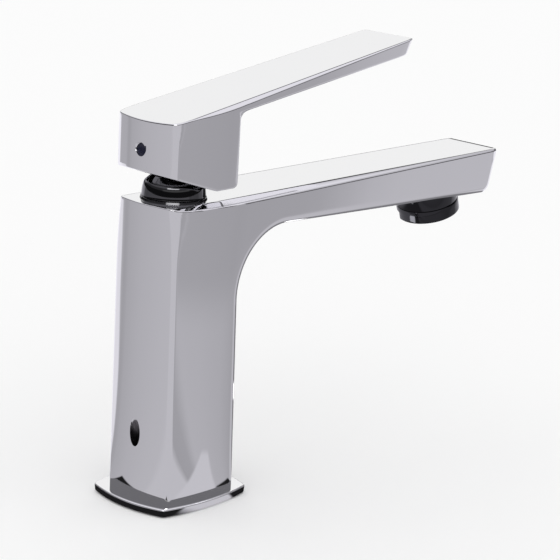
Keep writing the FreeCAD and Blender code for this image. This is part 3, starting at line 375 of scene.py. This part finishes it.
def rounded_path(corners):
    """Points along straight lines through corners (x, z, radius, step). A corner with a radius is an arc,
    and step is the spacing of the points on the line that leads to the corner."""
    start = np.array(corners[0][:2], float)
    points = [start[None]]
    for index in range(1, len(corners)):
        x, z, radius, step = corners[index]
        before, here = np.array(corners[index - 1][:2], float), np.array((x, z), float)
        line_end, arc = here, np.array([(x, z)], float)
        if radius:
            after = np.array(corners[index + 1][:2], float)
            way_in, way_out = here - before, after - here
            way_in, way_out = way_in / np.hypot(*way_in), way_out / np.hypot(*way_out)
            turn = math.atan2(way_in[0] * way_out[1] - way_in[1] * way_out[0], way_in @ way_out)
            line_end = here - way_in * radius * math.tan(abs(turn) / 2)
            normal = np.array([-way_in[1], way_in[0]]) * math.copysign(1, turn)
            swing = np.linspace(0, abs(turn), max(6, math.ceil(abs(turn) * radius / 0.3)) + 1)[1:, None]
            arc = line_end + normal * radius * (1 - np.cos(swing)) + way_in * radius * np.sin(swing)
        steps = max(1, math.ceil(np.hypot(*(line_end - start)) / step))
        points += [start + (line_end - start) * np.arange(1, steps)[:, None] / steps, arc]
        if radius:
            points.insert(-1, line_end[None])
        start = arc[-1]
    return np.concatenate(points)


def nearest(path, point):
    """Number of the path's point that lies nearest to the given one."""
    return int(np.argmin(np.hypot(path[:, 0] - point[0], path[:, 1] - point[1])))


def matched(path, other, pairs):
    """Points of a path, one for each point of the other. Each pair names a point near this path and the
    one near the other path that answers to it; between them the distance grows evenly."""
    run, other_run = (np.concatenate([[0.0], np.cumsum(np.hypot(*np.diff(line, axis=0).T))])
                      for line in (path, other))
    marks = [run[nearest(path, own)] for own, _ in pairs]
    other_marks = [other_run[nearest(other, answer)] for _, answer in pairs]
    places = np.interp(other_run, other_marks, marks)
    return np.stack([np.interp(places, run, path[:, axis]) for axis in (0, 1)], axis=1)


def rounding(depth, radius):
    """How far a rounded edge falls back at a depth from the outline: a quarter of a circle."""
    left = np.clip(radius - depth, 0.0, radius)
    return radius - np.sqrt(radius ** 2 - left ** 2)


def rear_arc(y, rear, bow, half):
    """x of a rear face that is an arc in plan: at rear in the middle, and bow further in at half."""
    radius = (half ** 2 + bow ** 2) / (2 * bow)
    return rear + radius - np.sqrt(radius ** 2 - y ** 2)


def crease(x, z, side, rear, corner_half, cut_rear, cut_side):
    """Half width near the rear: a quadratic curve from a point of the rear arc, cut_rear in from the
    corner, to the side, cut_side along from it. Its middle point is where the tangents there meet."""
    y_start = corner_half(z) - cut_rear(z)
    x_start = rear(y_start)
    slope = (rear(y_start + 0.01) - x_start) / 0.01
    x_end = rear(corner_half(z)) + cut_side(z)
    y_end = side(x_end, z)
    climb = (side(x_end + 0.01, z) - y_end) / 0.01
    back = (x_end - x_start - slope * (y_end - y_start)) / (1 - slope * climb)
    reach, y_middle = x_end - back - x_start, y_end - back * climb
    bend = x_end - x_start - 2 * reach
    root = np.sqrt(np.clip(reach ** 2 + bend * (x - x_start), 0, None))
    t = np.clip((x - x_start) / (reach + root), 0.0, 1.0)
    curve = (1 - t) ** 2 * y_start + 2 * t * (1 - t) * y_middle + t ** 2 * y_end
    return np.where(x < x_end, curve, side(x, z))


def skin(name, outer, inner, half_width, rear, outer_sway, inner_sway, outer_steps, inner_radius, foot=None):
    """A closed skin from two paths in the side view that are matched point by point.

    Between them lies a panel on either side, whose half width is half_width(x, z). Its points go across
    by outer_steps in millimetres, then evenly, then as an edge rounded by inner_radius asks. Along each
    path a ribbon joins the panels. rear(y) bows it: a point moves by rear(y) - rear(half) times the
    path's sway in x, and its climb in z. A level ribbon at the height foot closes the start, if given.
    """
    turn = np.linspace(0, math.pi / 2, 12)[:-1]
    length = np.hypot(*(inner - outer).T)[:, None]
    shrink = np.minimum(1.0, length / (outer_steps[-1] + inner_radius + 1.0))
    first = outer_steps * shrink
    last = length - inner_radius * (1 - np.cos(turn[::-1])) * shrink
    low, high = first[:, -1:], length - inner_radius * shrink
    middle = low + (high - low) * np.linspace(0, 1, 14)[1:]
    share = np.concatenate([first, middle, last], axis=1) / np.maximum(length, 1e-9)
    x = outer[:, :1] + (inner[:, :1] - outer[:, :1]) * share
    z = outer[:, 1:] + (inner[:, 1:] - outer[:, 1:]) * share
    half = half_width(x, z)
    grids = [np.stack([x, side * half, z], axis=2) for side in (-1, 1)]
    v = np.linspace(-1, 1, 49)[None, :]
    for path, column, (sway, climb) in ((outer, 0, outer_sway), (inner, -1, inner_sway)):
        edge = half[:, column, None]
        shift = rear(v * edge) - rear(edge)
        ribbon = (path[:, :1] + shift * sway[:, None], v * edge, path[:, 1:] + shift * climb[:, None])
        grids.append(np.stack(ribbon, axis=2))
    if foot is not None:
        edge = half[0, :, None]
        shift = (rear(v * half[0, 0]) - rear(half[0, 0])) * (1 - share[0, :, None]) ** 2
        grids.append(np.stack([x[0, :, None] + shift, v * edge, np.full((x.shape[1], 49), foot)], axis=2))
    return quilt(name, grids)


def lathe(name, profile, origin, up, start, count=128, reach=None):
    """A closed profile of (radius, height) points turned about the axis up through origin. reach(angle,
    radius, height) may give another radius by angle, counted from the direction start."""
    angle = np.linspace(0, math.tau, count + 1)[:, None]
    closed = profile[0][0] > 0 or profile[-1][0] > 0
    radius, height = np.array(profile + profile[:1] * closed, float).T
    up, start = np.array(up, float), np.array(start, float)
    ring = np.cos(angle) * start + np.sin(angle) * np.cross(up, start)
    out = np.broadcast_to(radius, (count + 1, len(radius))) if reach is None else reach(angle, radius, height)
    grid = np.array(origin, float) + out[:, :, None] * ring[:, None, :] + height[None, :, None] * up
    return quilt(name, [grid])


def rod(radius, length, origin, up=(0, 0, 1), top_radius=None):
    """A temporary round cutter, wider at its top where top_radius asks."""
    across = np.cross(up, (0, 1, 0))
    profile = [(0, 0), (radius, 0), (top_radius or radius, length), (0, length)]
    return lathe("cutter", profile, origin, up, across / np.linalg.norm(across), 64)


def drill(piece, cutters):
    """Cut temporary pieces out of a finished one, and remove them."""
    for cutter in cutters:
        change = piece.modifiers.new("cut", "BOOLEAN")
        change.object = cutter
        change.solver = "EXACT"
    graph = bpy.context.evaluated_depsgraph_get()
    old, piece.data = piece.data, bpy.data.meshes.new_from_object(piece.evaluated_get(graph))
    piece.modifiers.clear()
    piece.data.name = piece.name
    piece.data.set_sharp_from_angle(angle=SHARP_ANGLE)
    for mesh in [old, *(cutter.data for cutter in cutters)]:
        bpy.data.meshes.remove(mesh)


def casting_face(y):
    """x of the rear face."""
    return rear_arc(y, REAR_X, REAR_BOW, CORNER_HALF)


def casting_corner(z):
    """Half width at which the rear face and the side would meet: it narrows evenly by 0.7 mm."""
    return CORNER_HALF - 0.7 * (z - FOOT_Z) / (TOP_Z - FOOT_Z)


def casting_cut_rear(z):
    """How far in from the corner the crease starts: even at first, and 2 mm more at the top."""
    return CREASE_CUT + 2.0 * np.clip((z - FLARE_Z) / (TOP_Z - FLARE_Z), 0, 1) ** 2


def casting_cut_side(z):
    """How far along the side the crease ends: it flares by a parabola, then by its tangent."""
    above = np.clip(z - FLARE_Z, 0, None)
    parabola = 0.0170 * above ** 2
    tangent = 3.1 + 0.459 * (above - 13.5)
    return CREASE_CUT + np.where(above < 13.5, parabola, tangent)


def column_side(x, z):
    """Half width of column and spout: bowed between the creases, straight along the spout, and going
    evenly from the foot's plan to the top's."""
    place = (x - BOW_MIDDLE) / BOW_HALF
    bow = 1 - place ** 2
    along = (x - SPOUT_X) / SPOUT_RUN
    foot = CORNER_HALF + 1.5 * bow
    foot = np.where(x > BOW_MIDDLE, -smooth_min(-foot, 2.9 * along - CORNER_HALF, 0.3), foot)
    top = np.where(x < SPOUT_X, 16.8 + 0.6 * place + 0.48 * bow, 17.4 - 3.4 * along)
    share = (z - FOOT_Z) / (TOP_Z - FOOT_Z)
    return foot * (1 - share) + top * share


def casting_depth(x, z):
    """Distance of a point of the side view from the run of front, elbow, underside, heel and tip."""
    front = KNEE_X + KNEE_LEAN * (KNEE_Z - z) / (KNEE_Z - FOOT_Z) - x
    elbow = np.hypot(x - KNEE_X - ELBOW, z - KNEE_Z) - ELBOW
    under = (z - ELBOW_END[1] + (x - ELBOW_END[0]) * math.tan(UNDER)) * math.cos(UNDER)
    inner = np.where(x > ELBOW_END[0], under, np.where(z < KNEE_Z, front, elbow))
    tip = (REACH - (TOP_Z - z) * math.tan(TIP) - x) * math.cos(TIP)
    heel = HEEL_ROUND - np.hypot(HEEL_ROUND - inner, HEEL_ROUND - tip)
    near_heel = (inner < HEEL_ROUND) & (tip < HEEL_ROUND) & (x > ELBOW_END[0])
    return np.where(near_heel, heel, np.minimum(inner, tip))


def casting_crease(z):
    """x at which the crease starts on the rear face."""
    return casting_face(casting_corner(z) - casting_cut_rear(z))


def casting_half(x, z):
    """Half width of the casting: side and crease under the bevel's plane, less the rounded run. The bevel
    leaves a flat top 14.2 mm wide on either side at the rear, and 1 mm less at the tip."""
    half = crease(x, z, column_side, casting_face, casting_corner, casting_cut_rear, casting_cut_side)
    share = (x + 22.8) / 202.6
    bevel = 14.2 - share + 2.0 * (TOP_Z - z)
    soft = 0.4 + 1.0 * np.clip(x / 50, 0, 1)
    run = 0.5 * rounding(casting_depth(x, z), EDGE_ROUND)
    return smooth_min(half, bevel, soft) - run - rounding(TOP_Z - z, 0.45)


x_foot = float(casting_crease(FOOT_Z))
x_top = float(casting_crease(TOP_Z))
outline = rounded_path([
    (x_foot, FOOT_Z, 0, 1), (x_foot, KNEE_Z, 0, 2.4), (x_foot, TOP_Z, 0.4, 0.9),
    (ELBOW_END[0], TOP_Z, 0, 0.9), (REACH, TOP_Z, 0.5, 2.4), (*HEEL, HEEL_ROUND, 1.2),
    (KNEE_X, ELBOW_END[1] + (ELBOW_END[0] - KNEE_X) * math.tan(UNDER), ELBOW, 1.0),
    (KNEE_X, KNEE_Z, 0, 1.0), (KNEE_X + KNEE_LEAN, FOOT_Z, 0, 1.0),
])
split = nearest(outline, HEEL)
outer, inner = outline[:split + 1], outline[:split - 1:-1]
# The point of the elbow's arc that answers to the rear's top corner, as an angle up from the knee.
on_arc = math.radians(32.4)
inner = matched(inner, outer, [
    ((KNEE_X + KNEE_LEAN, FOOT_Z), (x_foot, FOOT_Z)), ((KNEE_X, KNEE_Z), (x_foot, KNEE_Z)),
    ((KNEE_X + ELBOW * (1 - math.cos(on_arc)), KNEE_Z + ELBOW * math.sin(on_arc)), (x_foot, TOP_Z)),
    (ELBOW_END, (ELBOW_END[0], TOP_Z)), ((HEEL[0] - 5.0, HEEL[1] + 0.2), (REACH, TOP_Z)), (HEEL, HEEL),
])
corner = nearest(outer, (x_foot, TOP_Z))
fade = np.clip((ELBOW_END[0] - outer[:, 0]) / (ELBOW_END[0] - x_foot), 0, 1)
on_rear = np.arange(len(outer)) <= corner
outer = outer.copy()
outer[:, 0] += np.where(on_rear, casting_crease(outer[:, 1]) - x_foot, (x_top - x_foot) * fade)
still = np.zeros(len(outer))
casting_steps = np.array([0, .04, .1, .18, .28, .4, .55, .7, .85, 1.0, 1.15, 1.3, 1.45, 1.6, 1.75, 1.9, 2.1,
                          2.4, 2.8, 3.4, 4.2])
casting = skin("casting", outer, inner, casting_half, casting_face,
               (np.where(on_rear, 1.0, fade ** 2), still), (still, still), casting_steps, EDGE_ROUND,
               foot=FOOT_Z)
CARTRIDGE_X = -3.5
# The pop-up rod's bore crosses the rear face's middle at ROD_Z, and its cutter starts below the counter.
ROD_LEAN = math.radians(29.0)
ROD_Z = 29.0
BELOW = 3.0
# The outlet's axis leans forward going down, and OUT_START is square to it.
OUT_LEAN = math.radians(16.5)
OUTLET = (148.9, 0.0, 93.0)
OUT_UP = (-math.sin(OUT_LEAN), 0.0, math.cos(OUT_LEAN))
OUT_START = (math.cos(OUT_LEAN), 0.0, math.sin(OUT_LEAN))
drill(casting, [
    rod(2.75, 46.3, (REAR_X + (ROD_Z + BELOW) * math.tan(ROD_LEAN), 0, -BELOW),
        (-math.sin(ROD_LEAN), 0, math.cos(ROD_LEAN))),  # the pop-up rod
    rod(5.0, 17.0, (1.5, -7.5, 0.45)),                  # the hot hose
    rod(5.0, 17.0, (1.5, 7.5, 0.45)),                   # the cold hose
    rod(4.0, 15.0, (11.0, 0, 0.45)),                    # the fixing stud
    rod(11.6, 28.0, (CARTRIDGE_X, 0, 84.0)),            # the cartridge's pocket
    rod(12.3, 12.0, (CARTRIDGE_X, 0, 111.6)),           # the nut's thread
    rod(12.0, 13.2, OUTLET, OUT_UP),                    # the outlet
])
casting.data.materials.append(chrome)
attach(casting, "tap_body")
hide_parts("body_casting")

# Outlet collar: the boss under the spout into which the aerator screws. It is a turned ring over the solid's
# own boss, chrome as the aerator's bezel is, with its colour painted dark: painted shade for the dark
# surroundings that it mirrors.

dark_chrome, tree, shader, where = new_finish("dark_chrome", (0.05, 0.05, 0.054), 0.07, 1.0)
film = noise(tree, where, 120, detail=4)
tree.links.new(ease(tree, film, 0.35, 0.75, 0.05, 0.10), shader.inputs["Roughness"])
bump(tree, shader, noise(tree, where, 180, (1, 1, 0.3), detail=2), 0.1, 0.0001)
BEZEL_RADIUS = 13.3
collar = lathe("outlet_collar", [
    (12.05, 5.6), (13.1, 5.6), (13.24, 5.66), (BEZEL_RADIUS, 5.8), (BEZEL_RADIUS, 14.4), (12.05, 14.4),
], OUTLET, OUT_UP, OUT_START)
collar.data.materials.append(dark_chrome)
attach(collar, "tap_body")

# Cartridge, in the column's pocket: base, rubber rings, ceramic discs, driver, rotor and housing. All of
# it is hidden and comes from the frame; the rings are black rubber as the gasket is.

for name in ("inlet_seals", "base_seal", "housing_seal", "rotor_seal"):
    coat(name, rubber)

ceramic, tree, shader, where = new_finish("lapped_ceramic", (0.88, 0.87, 0.83), 0.18,
                                          **{"Specular IOR Level": 0.6})
grain = noise(tree, where, 5000, detail=2)
tree.links.new(between(tree, noise(tree, where, 400, detail=3), (0.86, 0.85, 0.81, 1), (0.90, 0.89, 0.86, 1)),
               shader.inputs["Base Color"])
tree.links.new(ease(tree, grain, 0.3, 0.7, 0.14, 0.24), shader.inputs["Roughness"])
for name in ("fixed_disc", "moving_disc"):
    coat(name, ceramic)

plastic, tree, shader, where = new_finish("moulded_plastic", (0.80, 0.80, 0.77), 0.42)
tree.links.new(between(tree, noise(tree, where, 90, detail=3), (0.78, 0.78, 0.75, 1), (0.82, 0.82, 0.80, 1)),
               shader.inputs["Base Color"])
tree.links.new(ease(tree, noise(tree, where, 700, detail=3), 0.3, 0.7, 0.36, 0.5), shader.inputs["Roughness"])
bump(tree, shader, noise(tree, where, 3500, detail=2), 0.2, 0.00003)
for name in ("cartridge_base", "disc_driver", "rotor", "cartridge_housing", "limit_ring"):
    coat(name, plastic)

# Cartridge nut: turned brass, with the fine rings that the tool leaves. It holds the cartridge down in
# the column, and comes from the frame.

brass, tree, shader, where = new_finish("turned_brass", (0.72, 0.52, 0.22), 0.3, 1.0)
rings = noise(tree, where, 500, (0.05, 0.05, 8), detail=2)
tree.links.new(ease(tree, rings, 0.3, 0.7, 0.22, 0.38), shader.inputs["Roughness"])
tree.links.new(between(tree, noise(tree, where, 150, detail=3), (0.68, 0.49, 0.20, 1), (0.76, 0.56, 0.25, 1)),
               shader.inputs["Base Color"])
bump(tree, shader, rings, 0.3, 0.00003)
coat("cartridge_nut", brass)

# Dome: a drawn chrome cap over the nut, with a rolled rim and a groove at its foot and a round hole in which
# the stem swings. Its colour is painted dark: painted shade for the dark surroundings that it mirrors.

dome = lathe("dome", [
    (11.1, TOP_Z), (12.65, TOP_Z), (12.77, 119.24), (12.8, 119.32), (12.55, 120.04), (12.42, 120.12),
    (12.2, 120.16), (12.12, 120.24), (12.16, 120.34), (12.34, 120.42), (12.38, 120.5), (12.3, 120.74),
    (12.26, 121.4), (12.1, 122.8), (11.85, 124.2), (11.6, 125.1), (11.3, 125.75), (10.9, 126.2),
    (10.4, 126.6), (9.4, 127.35), (8.5, 128.0), (8.25, 128.15), (8.08, 128.18), (8.0, 128.1), (8.0, 127.9),
    (8.0, 125.2), (11.1, 125.2),
], (CARTRIDGE_X, 0, 0), (0, 0, 1), (1, 0, 0), 160)
smoked, tree, shader, where = new_finish("dome_chrome_painted_dark", (0.11, 0.11, 0.115), 0.05, 1.0)
film = noise(tree, where, 150, detail=4)
tree.links.new(ease(tree, film, 0.35, 0.75, 0.03, 0.08), shader.inputs["Roughness"])
bump(tree, shader, noise(tree, where, 120, (1, 1, 0.4), detail=1), 0.15, 0.0002)
dome.data.materials.append(smoked)
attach(dome, "tap_body")
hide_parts("cartridge_dome")

# Stem, pivot pin and grub screw: drawn and turned steel; the pin carries the stem in the rotor, and the
# screw clamps the lever to the stem's square. The aerator's screen is of the same steel.

steel, tree, shader, where = new_finish("turned_steel", (0.58, 0.58, 0.59), 0.28, 1.0)
drawn = noise(tree, where, 1500, (1, 1, 0.08), detail=3)
tree.links.new(ease(tree, drawn, 0.3, 0.7, 0.22, 0.36), shader.inputs["Roughness"])
tree.links.new(between(tree, drawn, (0.55, 0.55, 0.56, 1), (0.61, 0.61, 0.62, 1)),
               shader.inputs["Base Color"])
bump(tree, shader, drawn, 0.25, 0.00002)
for name in ("stem", "pivot_pin", "grub_screw", "aerator_screen"):
    coat(name, steel)

# Lever: block and arm in one zinc casting, polished and chromed. The block has a bowed rear face and is
# hollow over the dome; the arm rises to its tip, and a narrow bevel runs along both top edges.

# The top climbs from LEVER_TOP_Z over the frame's origin, and the arm's underside a little less steeply.
LEVER_TOP_Z = 154.4
RISE = math.tan(math.radians(8.6))
ARM = math.tan(math.radians(7.4))
ARM_THICK = 3.8
LEVER_REACH = 116.4
SLANT = math.radians(31.0)
# The rear face's middle, how far it falls back at its corners, and how far out these are at the foot.
LEVER_REAR_X = -21.4
LEVER_BOW = 3.0
LEVER_HALF = 15.9
# The block's underside is level from its front to FALL_X, and climbs by BLOCK_FALL behind it.
BLOCK_FRONT = 13.8
BLOCK_Z = 123.9
FALL_X = 2.6
BLOCK_FALL = 8.0 / 24.0
TOE_ROUND = 2.0
CORNER_ROUND = 9.4
CORNER_Z = 141.4


def lever_top(x):
    """Height of the top face."""
    return LEVER_TOP_Z + x * RISE


def block_bottom(x):
    """Height of the block's slanting underside, behind FALL_X."""
    return BLOCK_Z + (FALL_X - x) * BLOCK_FALL


ARM_ROOT_Z = lever_top(BLOCK_FRONT) - ARM_THICK
LEVER_TIP = (LEVER_REACH, lever_top(LEVER_REACH))
tip_face = ((LEVER_TIP[1] - ARM_ROOT_Z - (LEVER_TIP[0] - BLOCK_FRONT) * ARM)
            / (math.cos(SLANT) - ARM * math.sin(SLANT)))
TIP_FOOT = (LEVER_TIP[0] - tip_face * math.sin(SLANT), LEVER_TIP[1] - tip_face * math.cos(SLANT))


def lever_flare(z):
    """How much wider than at its foot the lever is on either side: 0.6 mm more over 54.1 mm of height."""
    return 0.6 * (z - 120.9) / 54.1


def lever_face(y):
    """x of the rear face."""
    return rear_arc(y, LEVER_REAR_X, LEVER_BOW, LEVER_HALF)


def lever_corner(z):
    """Half width at which the rear face and the side would meet."""
    return LEVER_HALF + lever_flare(z)


def lever_round(z):
    """How far the panel's round corner stands in from the rear crease: an arc of CORNER_ROUND that starts
    at CORNER_Z and ends where it gets steep."""
    return CORNER_ROUND * (1 - np.sqrt(1 - np.clip((z - CORNER_Z) / CORNER_ROUND, 0, 0.75) ** 2))


def lever_cut_rear(z):
    """How far in from the corner the crease starts."""
    return CREASE_CUT + 0.12 * lever_round(z)


def lever_cut_side(z):
    """How far along the side the crease ends."""
    return CREASE_CUT + lever_round(z)


def lever_side(x, z):
    """Half width of block and arm: bowed over the block, straight along the arm, a little wider above."""
    flare = lever_flare(z)
    place = (x + 1.5) / 15.3
    block = 16.4 + 0.5 * place + 0.52 * (1 - place ** 2) + flare
    arm = 16.9 + flare - (x - BLOCK_FRONT) * (3.5 + flare) / 105.6
    return np.where(x < BLOCK_FRONT, block, arm)


def lever_depth(x, z):
    """Distances from the block's underside and front, from the arm's underside, and from its tip."""
    level = math.cos(math.atan(BLOCK_FALL))
    low = np.where(x < FALL_X, (z - block_bottom(x)) * level, z - BLOCK_Z)
    front = BLOCK_FRONT - x
    toe = TOE_ROUND - np.hypot(np.clip(TOE_ROUND - low, 0, None), np.clip(TOE_ROUND - front, 0, None))
    block = np.where((low < TOE_ROUND) & (front < TOE_ROUND), toe, np.minimum(low, front))
    arm = (z - ARM_ROOT_Z - (x - BLOCK_FRONT) * ARM) * math.cos(math.atan(ARM))
    tip = (LEVER_TIP[0] - (LEVER_TIP[1] - z) * math.tan(SLANT) - x) * math.cos(SLANT)
    return block, arm, tip


def lever_half(x, z):
    """Half width of the lever: side and crease under the bevel's plane, less the rounded lower run. The
    bevel leaves a flat top 16.9 mm wide on either side at the rear, and 3.6 mm less at the tip."""
    half = crease(x, z, lever_side, lever_face, lever_corner, lever_cut_rear, lever_cut_side)
    share = (x + 24.4) / 143.8
    top = lever_top(x) - z
    block, arm, tip = lever_depth(x, z)
    lower = np.where(z > ARM_ROOT_Z - 2, np.maximum(arm, block), block)
    bevelled = smooth_min(half, 16.9 - 3.6 * share + top, 0.2)
    return bevelled - 0.6 * rounding(lower, 0.9) - rounding(tip, 1.8) - rounding(top, 0.6)


lever_foot = float(lever_face(lever_corner(131.0) - CREASE_CUT))
back_low = (lever_foot, block_bottom(lever_foot))
back_high = (lever_foot, lever_top(lever_foot))
outline = rounded_path([
    (-6.0, block_bottom(-6.0), 0, 1), (*back_low, 0.5, 0.7), (*back_high, 0.35, 0.6),
    (BLOCK_FRONT, lever_top(BLOCK_FRONT), 0, 0.6), (*LEVER_TIP, 0.4, 2.0), (*TIP_FOOT, 0.5, 0.8),
    (BLOCK_FRONT, ARM_ROOT_Z, 4.0, 1.0), (BLOCK_FRONT, BLOCK_Z, TOE_ROUND, 0.6), (FALL_X, BLOCK_Z, 0, 0.6),
    (-6.0, block_bottom(-6.0), 0, 0.6),
])
first, last = nearest(outline, back_low), nearest(outline, TIP_FOOT)
outer = outline[first:last + 1]
inner = np.concatenate([outline[first::-1], outline[-2:last - 1:-1]])
inner = matched(inner, outer, [
    (back_low, back_low), ((-14.0, block_bottom(-14.0)), back_high),
    ((BLOCK_FRONT, BLOCK_Z), (-7.5, lever_top(-7.5))),
    ((BLOCK_FRONT, ARM_ROOT_Z), (BLOCK_FRONT - 1.0, lever_top(BLOCK_FRONT - 1.0))),
    ((TIP_FOOT[0] - 1.5, TIP_FOOT[1] - 1.5 * ARM), LEVER_TIP), (TIP_FOOT, TIP_FOOT),
])
corner = nearest(outer, back_high)
on_rear = np.arange(len(outer)) <= corner
fade = np.clip((BLOCK_FRONT - outer[:, 0]) / (BLOCK_FRONT - lever_foot), 0, 1)
share = np.clip((outer[:, 1] - outer[0, 1]) / (back_high[1] - outer[0, 1]), 0, 1)
outer = outer.copy()
corner_x = lever_face(lever_corner(outer[:, 1]) - lever_cut_rear(outer[:, 1]))
sway = np.where(on_rear, corner_x - corner_x[0], (corner_x[corner] - corner_x[0]) * fade)
outer += np.stack([sway, np.where(on_rear, 0, sway * RISE)], axis=1)
outer_sway = np.where(on_rear, 1.0, fade ** 2)
outer_climb = np.where(on_rear, -BLOCK_FALL * (1 - share) ** 4 + RISE * share ** 4, RISE * fade ** 2)
inner_sway = np.clip((FALL_X - inner[:, 0]) / (FALL_X - inner[0, 0]), 0, 1) ** 2 * (inner[:, 1] < 140)
lever_steps = np.array([0, .04, .1, .18, .28, .4, .55, .7, .9, 1.1, 1.3, 1.5, 1.7, 1.9, 2.2, 2.5, 2.8, 3.0,
                        3.2, 3.5])
lever = skin("lever", outer, inner, lever_half, lever_face, (outer_sway, outer_climb),
             (inner_sway, -BLOCK_FALL * inner_sway), lever_steps, 0.9)
# The screw lies square to the stem, which leans forward about its pivot at PIVOT_Z.
STEM_LEAN = math.radians(12.5)
PIVOT_Z = 114.0
SCREW_RISE = 21.5
SCREW_OUT = np.array([-math.cos(STEM_LEAN), 0.0, math.sin(STEM_LEAN)])
SCREW_UP = np.array([math.sin(STEM_LEAN), 0.0, math.cos(STEM_LEAN)])
SCREW = np.array([CARTRIDGE_X, 0.0, PIVOT_Z]) + SCREW_RISE * SCREW_UP
PLUG_PLACE = SCREW + 18.3 * SCREW_OUT
PLUG_RADIUS = 2.6
drill(lever, [
    rod(14.8, 12.0, (CARTRIDGE_X, 0, 120.0)),                    # the hollow over the dome
    rod(PLUG_RADIUS, 8.0, PLUG_PLACE, SCREW_OUT),                # the plug's hole
    rod(2.45, 0.8, SCREW + 22.6 * SCREW_OUT, SCREW_OUT, 3.25),   # its countersink
])
lever.data.materials.append(chrome)
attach(lever, "lever")
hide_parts("lever_handle")

# Screw plug: a dark blue moulded stopper over the grub screw, with a shallow dish. It is a turned form
# that fills the hole in the block's rear face.

plug_blue, tree, shader, where = new_finish("plug_blue", (0.010, 0.011, 0.030), 0.25)
skin_grain = noise(tree, where, 1200, detail=3)
tree.links.new(ease(tree, skin_grain, 0.3, 0.7, 0.2, 0.34), shader.inputs["Roughness"])
bump(tree, shader, noise(tree, where, 3500, detail=2), 0.15, 0.00003)
plug = lathe("plug", [
    (0, 0), (2.45, 0), (PLUG_RADIUS, 0.15), (PLUG_RADIUS, 3.8), (2.54, 3.94), (2.4, 4.0), (2.1, 3.98),
    (1.8, 3.86), (1.2, 3.76), (0, 3.72),
], PLUG_PLACE, SCREW_OUT, SCREW_UP, 64)
plug.data.materials.append(plug_blue)
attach(plug, "lever")
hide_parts("screw_plug")

# Aerator: a chrome bezel with a flat for the key, its colour painted dark as painted shade for the dark
# surroundings that it mirrors, screwed into the collar; it holds a moulded insert with square holes, a steel
# screen and a rubber washer.


FLAT_REACH = 12.45
FLAT_BEARING = math.radians(133.0)
FLAT_HEIGHT = 3.1


def bezel_reach(angle, radius, height):
    """The bezel's radius: below FLAT_HEIGHT a plane at FLAT_REACH from the axis cuts the round."""
    off = np.cos(angle - FLAT_BEARING)
    flat = FLAT_REACH / np.clip(off, 0.5, 1)
    cut = (radius > 12.2) & (height < FLAT_HEIGHT)
    return np.where(cut, np.minimum(radius, flat + (radius - BEZEL_RADIUS)), radius)


bezel = lathe("bezel", [
    (9.75, 0.0), (13.0, 0.0), (13.16, 0.05), (13.27, 0.17), (BEZEL_RADIUS, 0.35), (BEZEL_RADIUS, 1.5),
    (BEZEL_RADIUS, 3.05), (BEZEL_RADIUS, 3.15), (BEZEL_RADIUS, 5.2), (13.24, 5.34), (13.1, 5.4),
    (11.9, 5.4), (11.9, 13.0), (10.45, 13.0), (10.45, 1.2), (9.6, 1.2), (9.6, 0.15), (9.65, 0.04),
], OUTLET, OUT_UP, OUT_START, 192, bezel_reach)
bezel.data.materials.append(dark_chrome)
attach(bezel, "tap_body")
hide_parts("aerator_bezel")
coat("aerator_insert", plastic)
coat("aerator_washer", rubber)
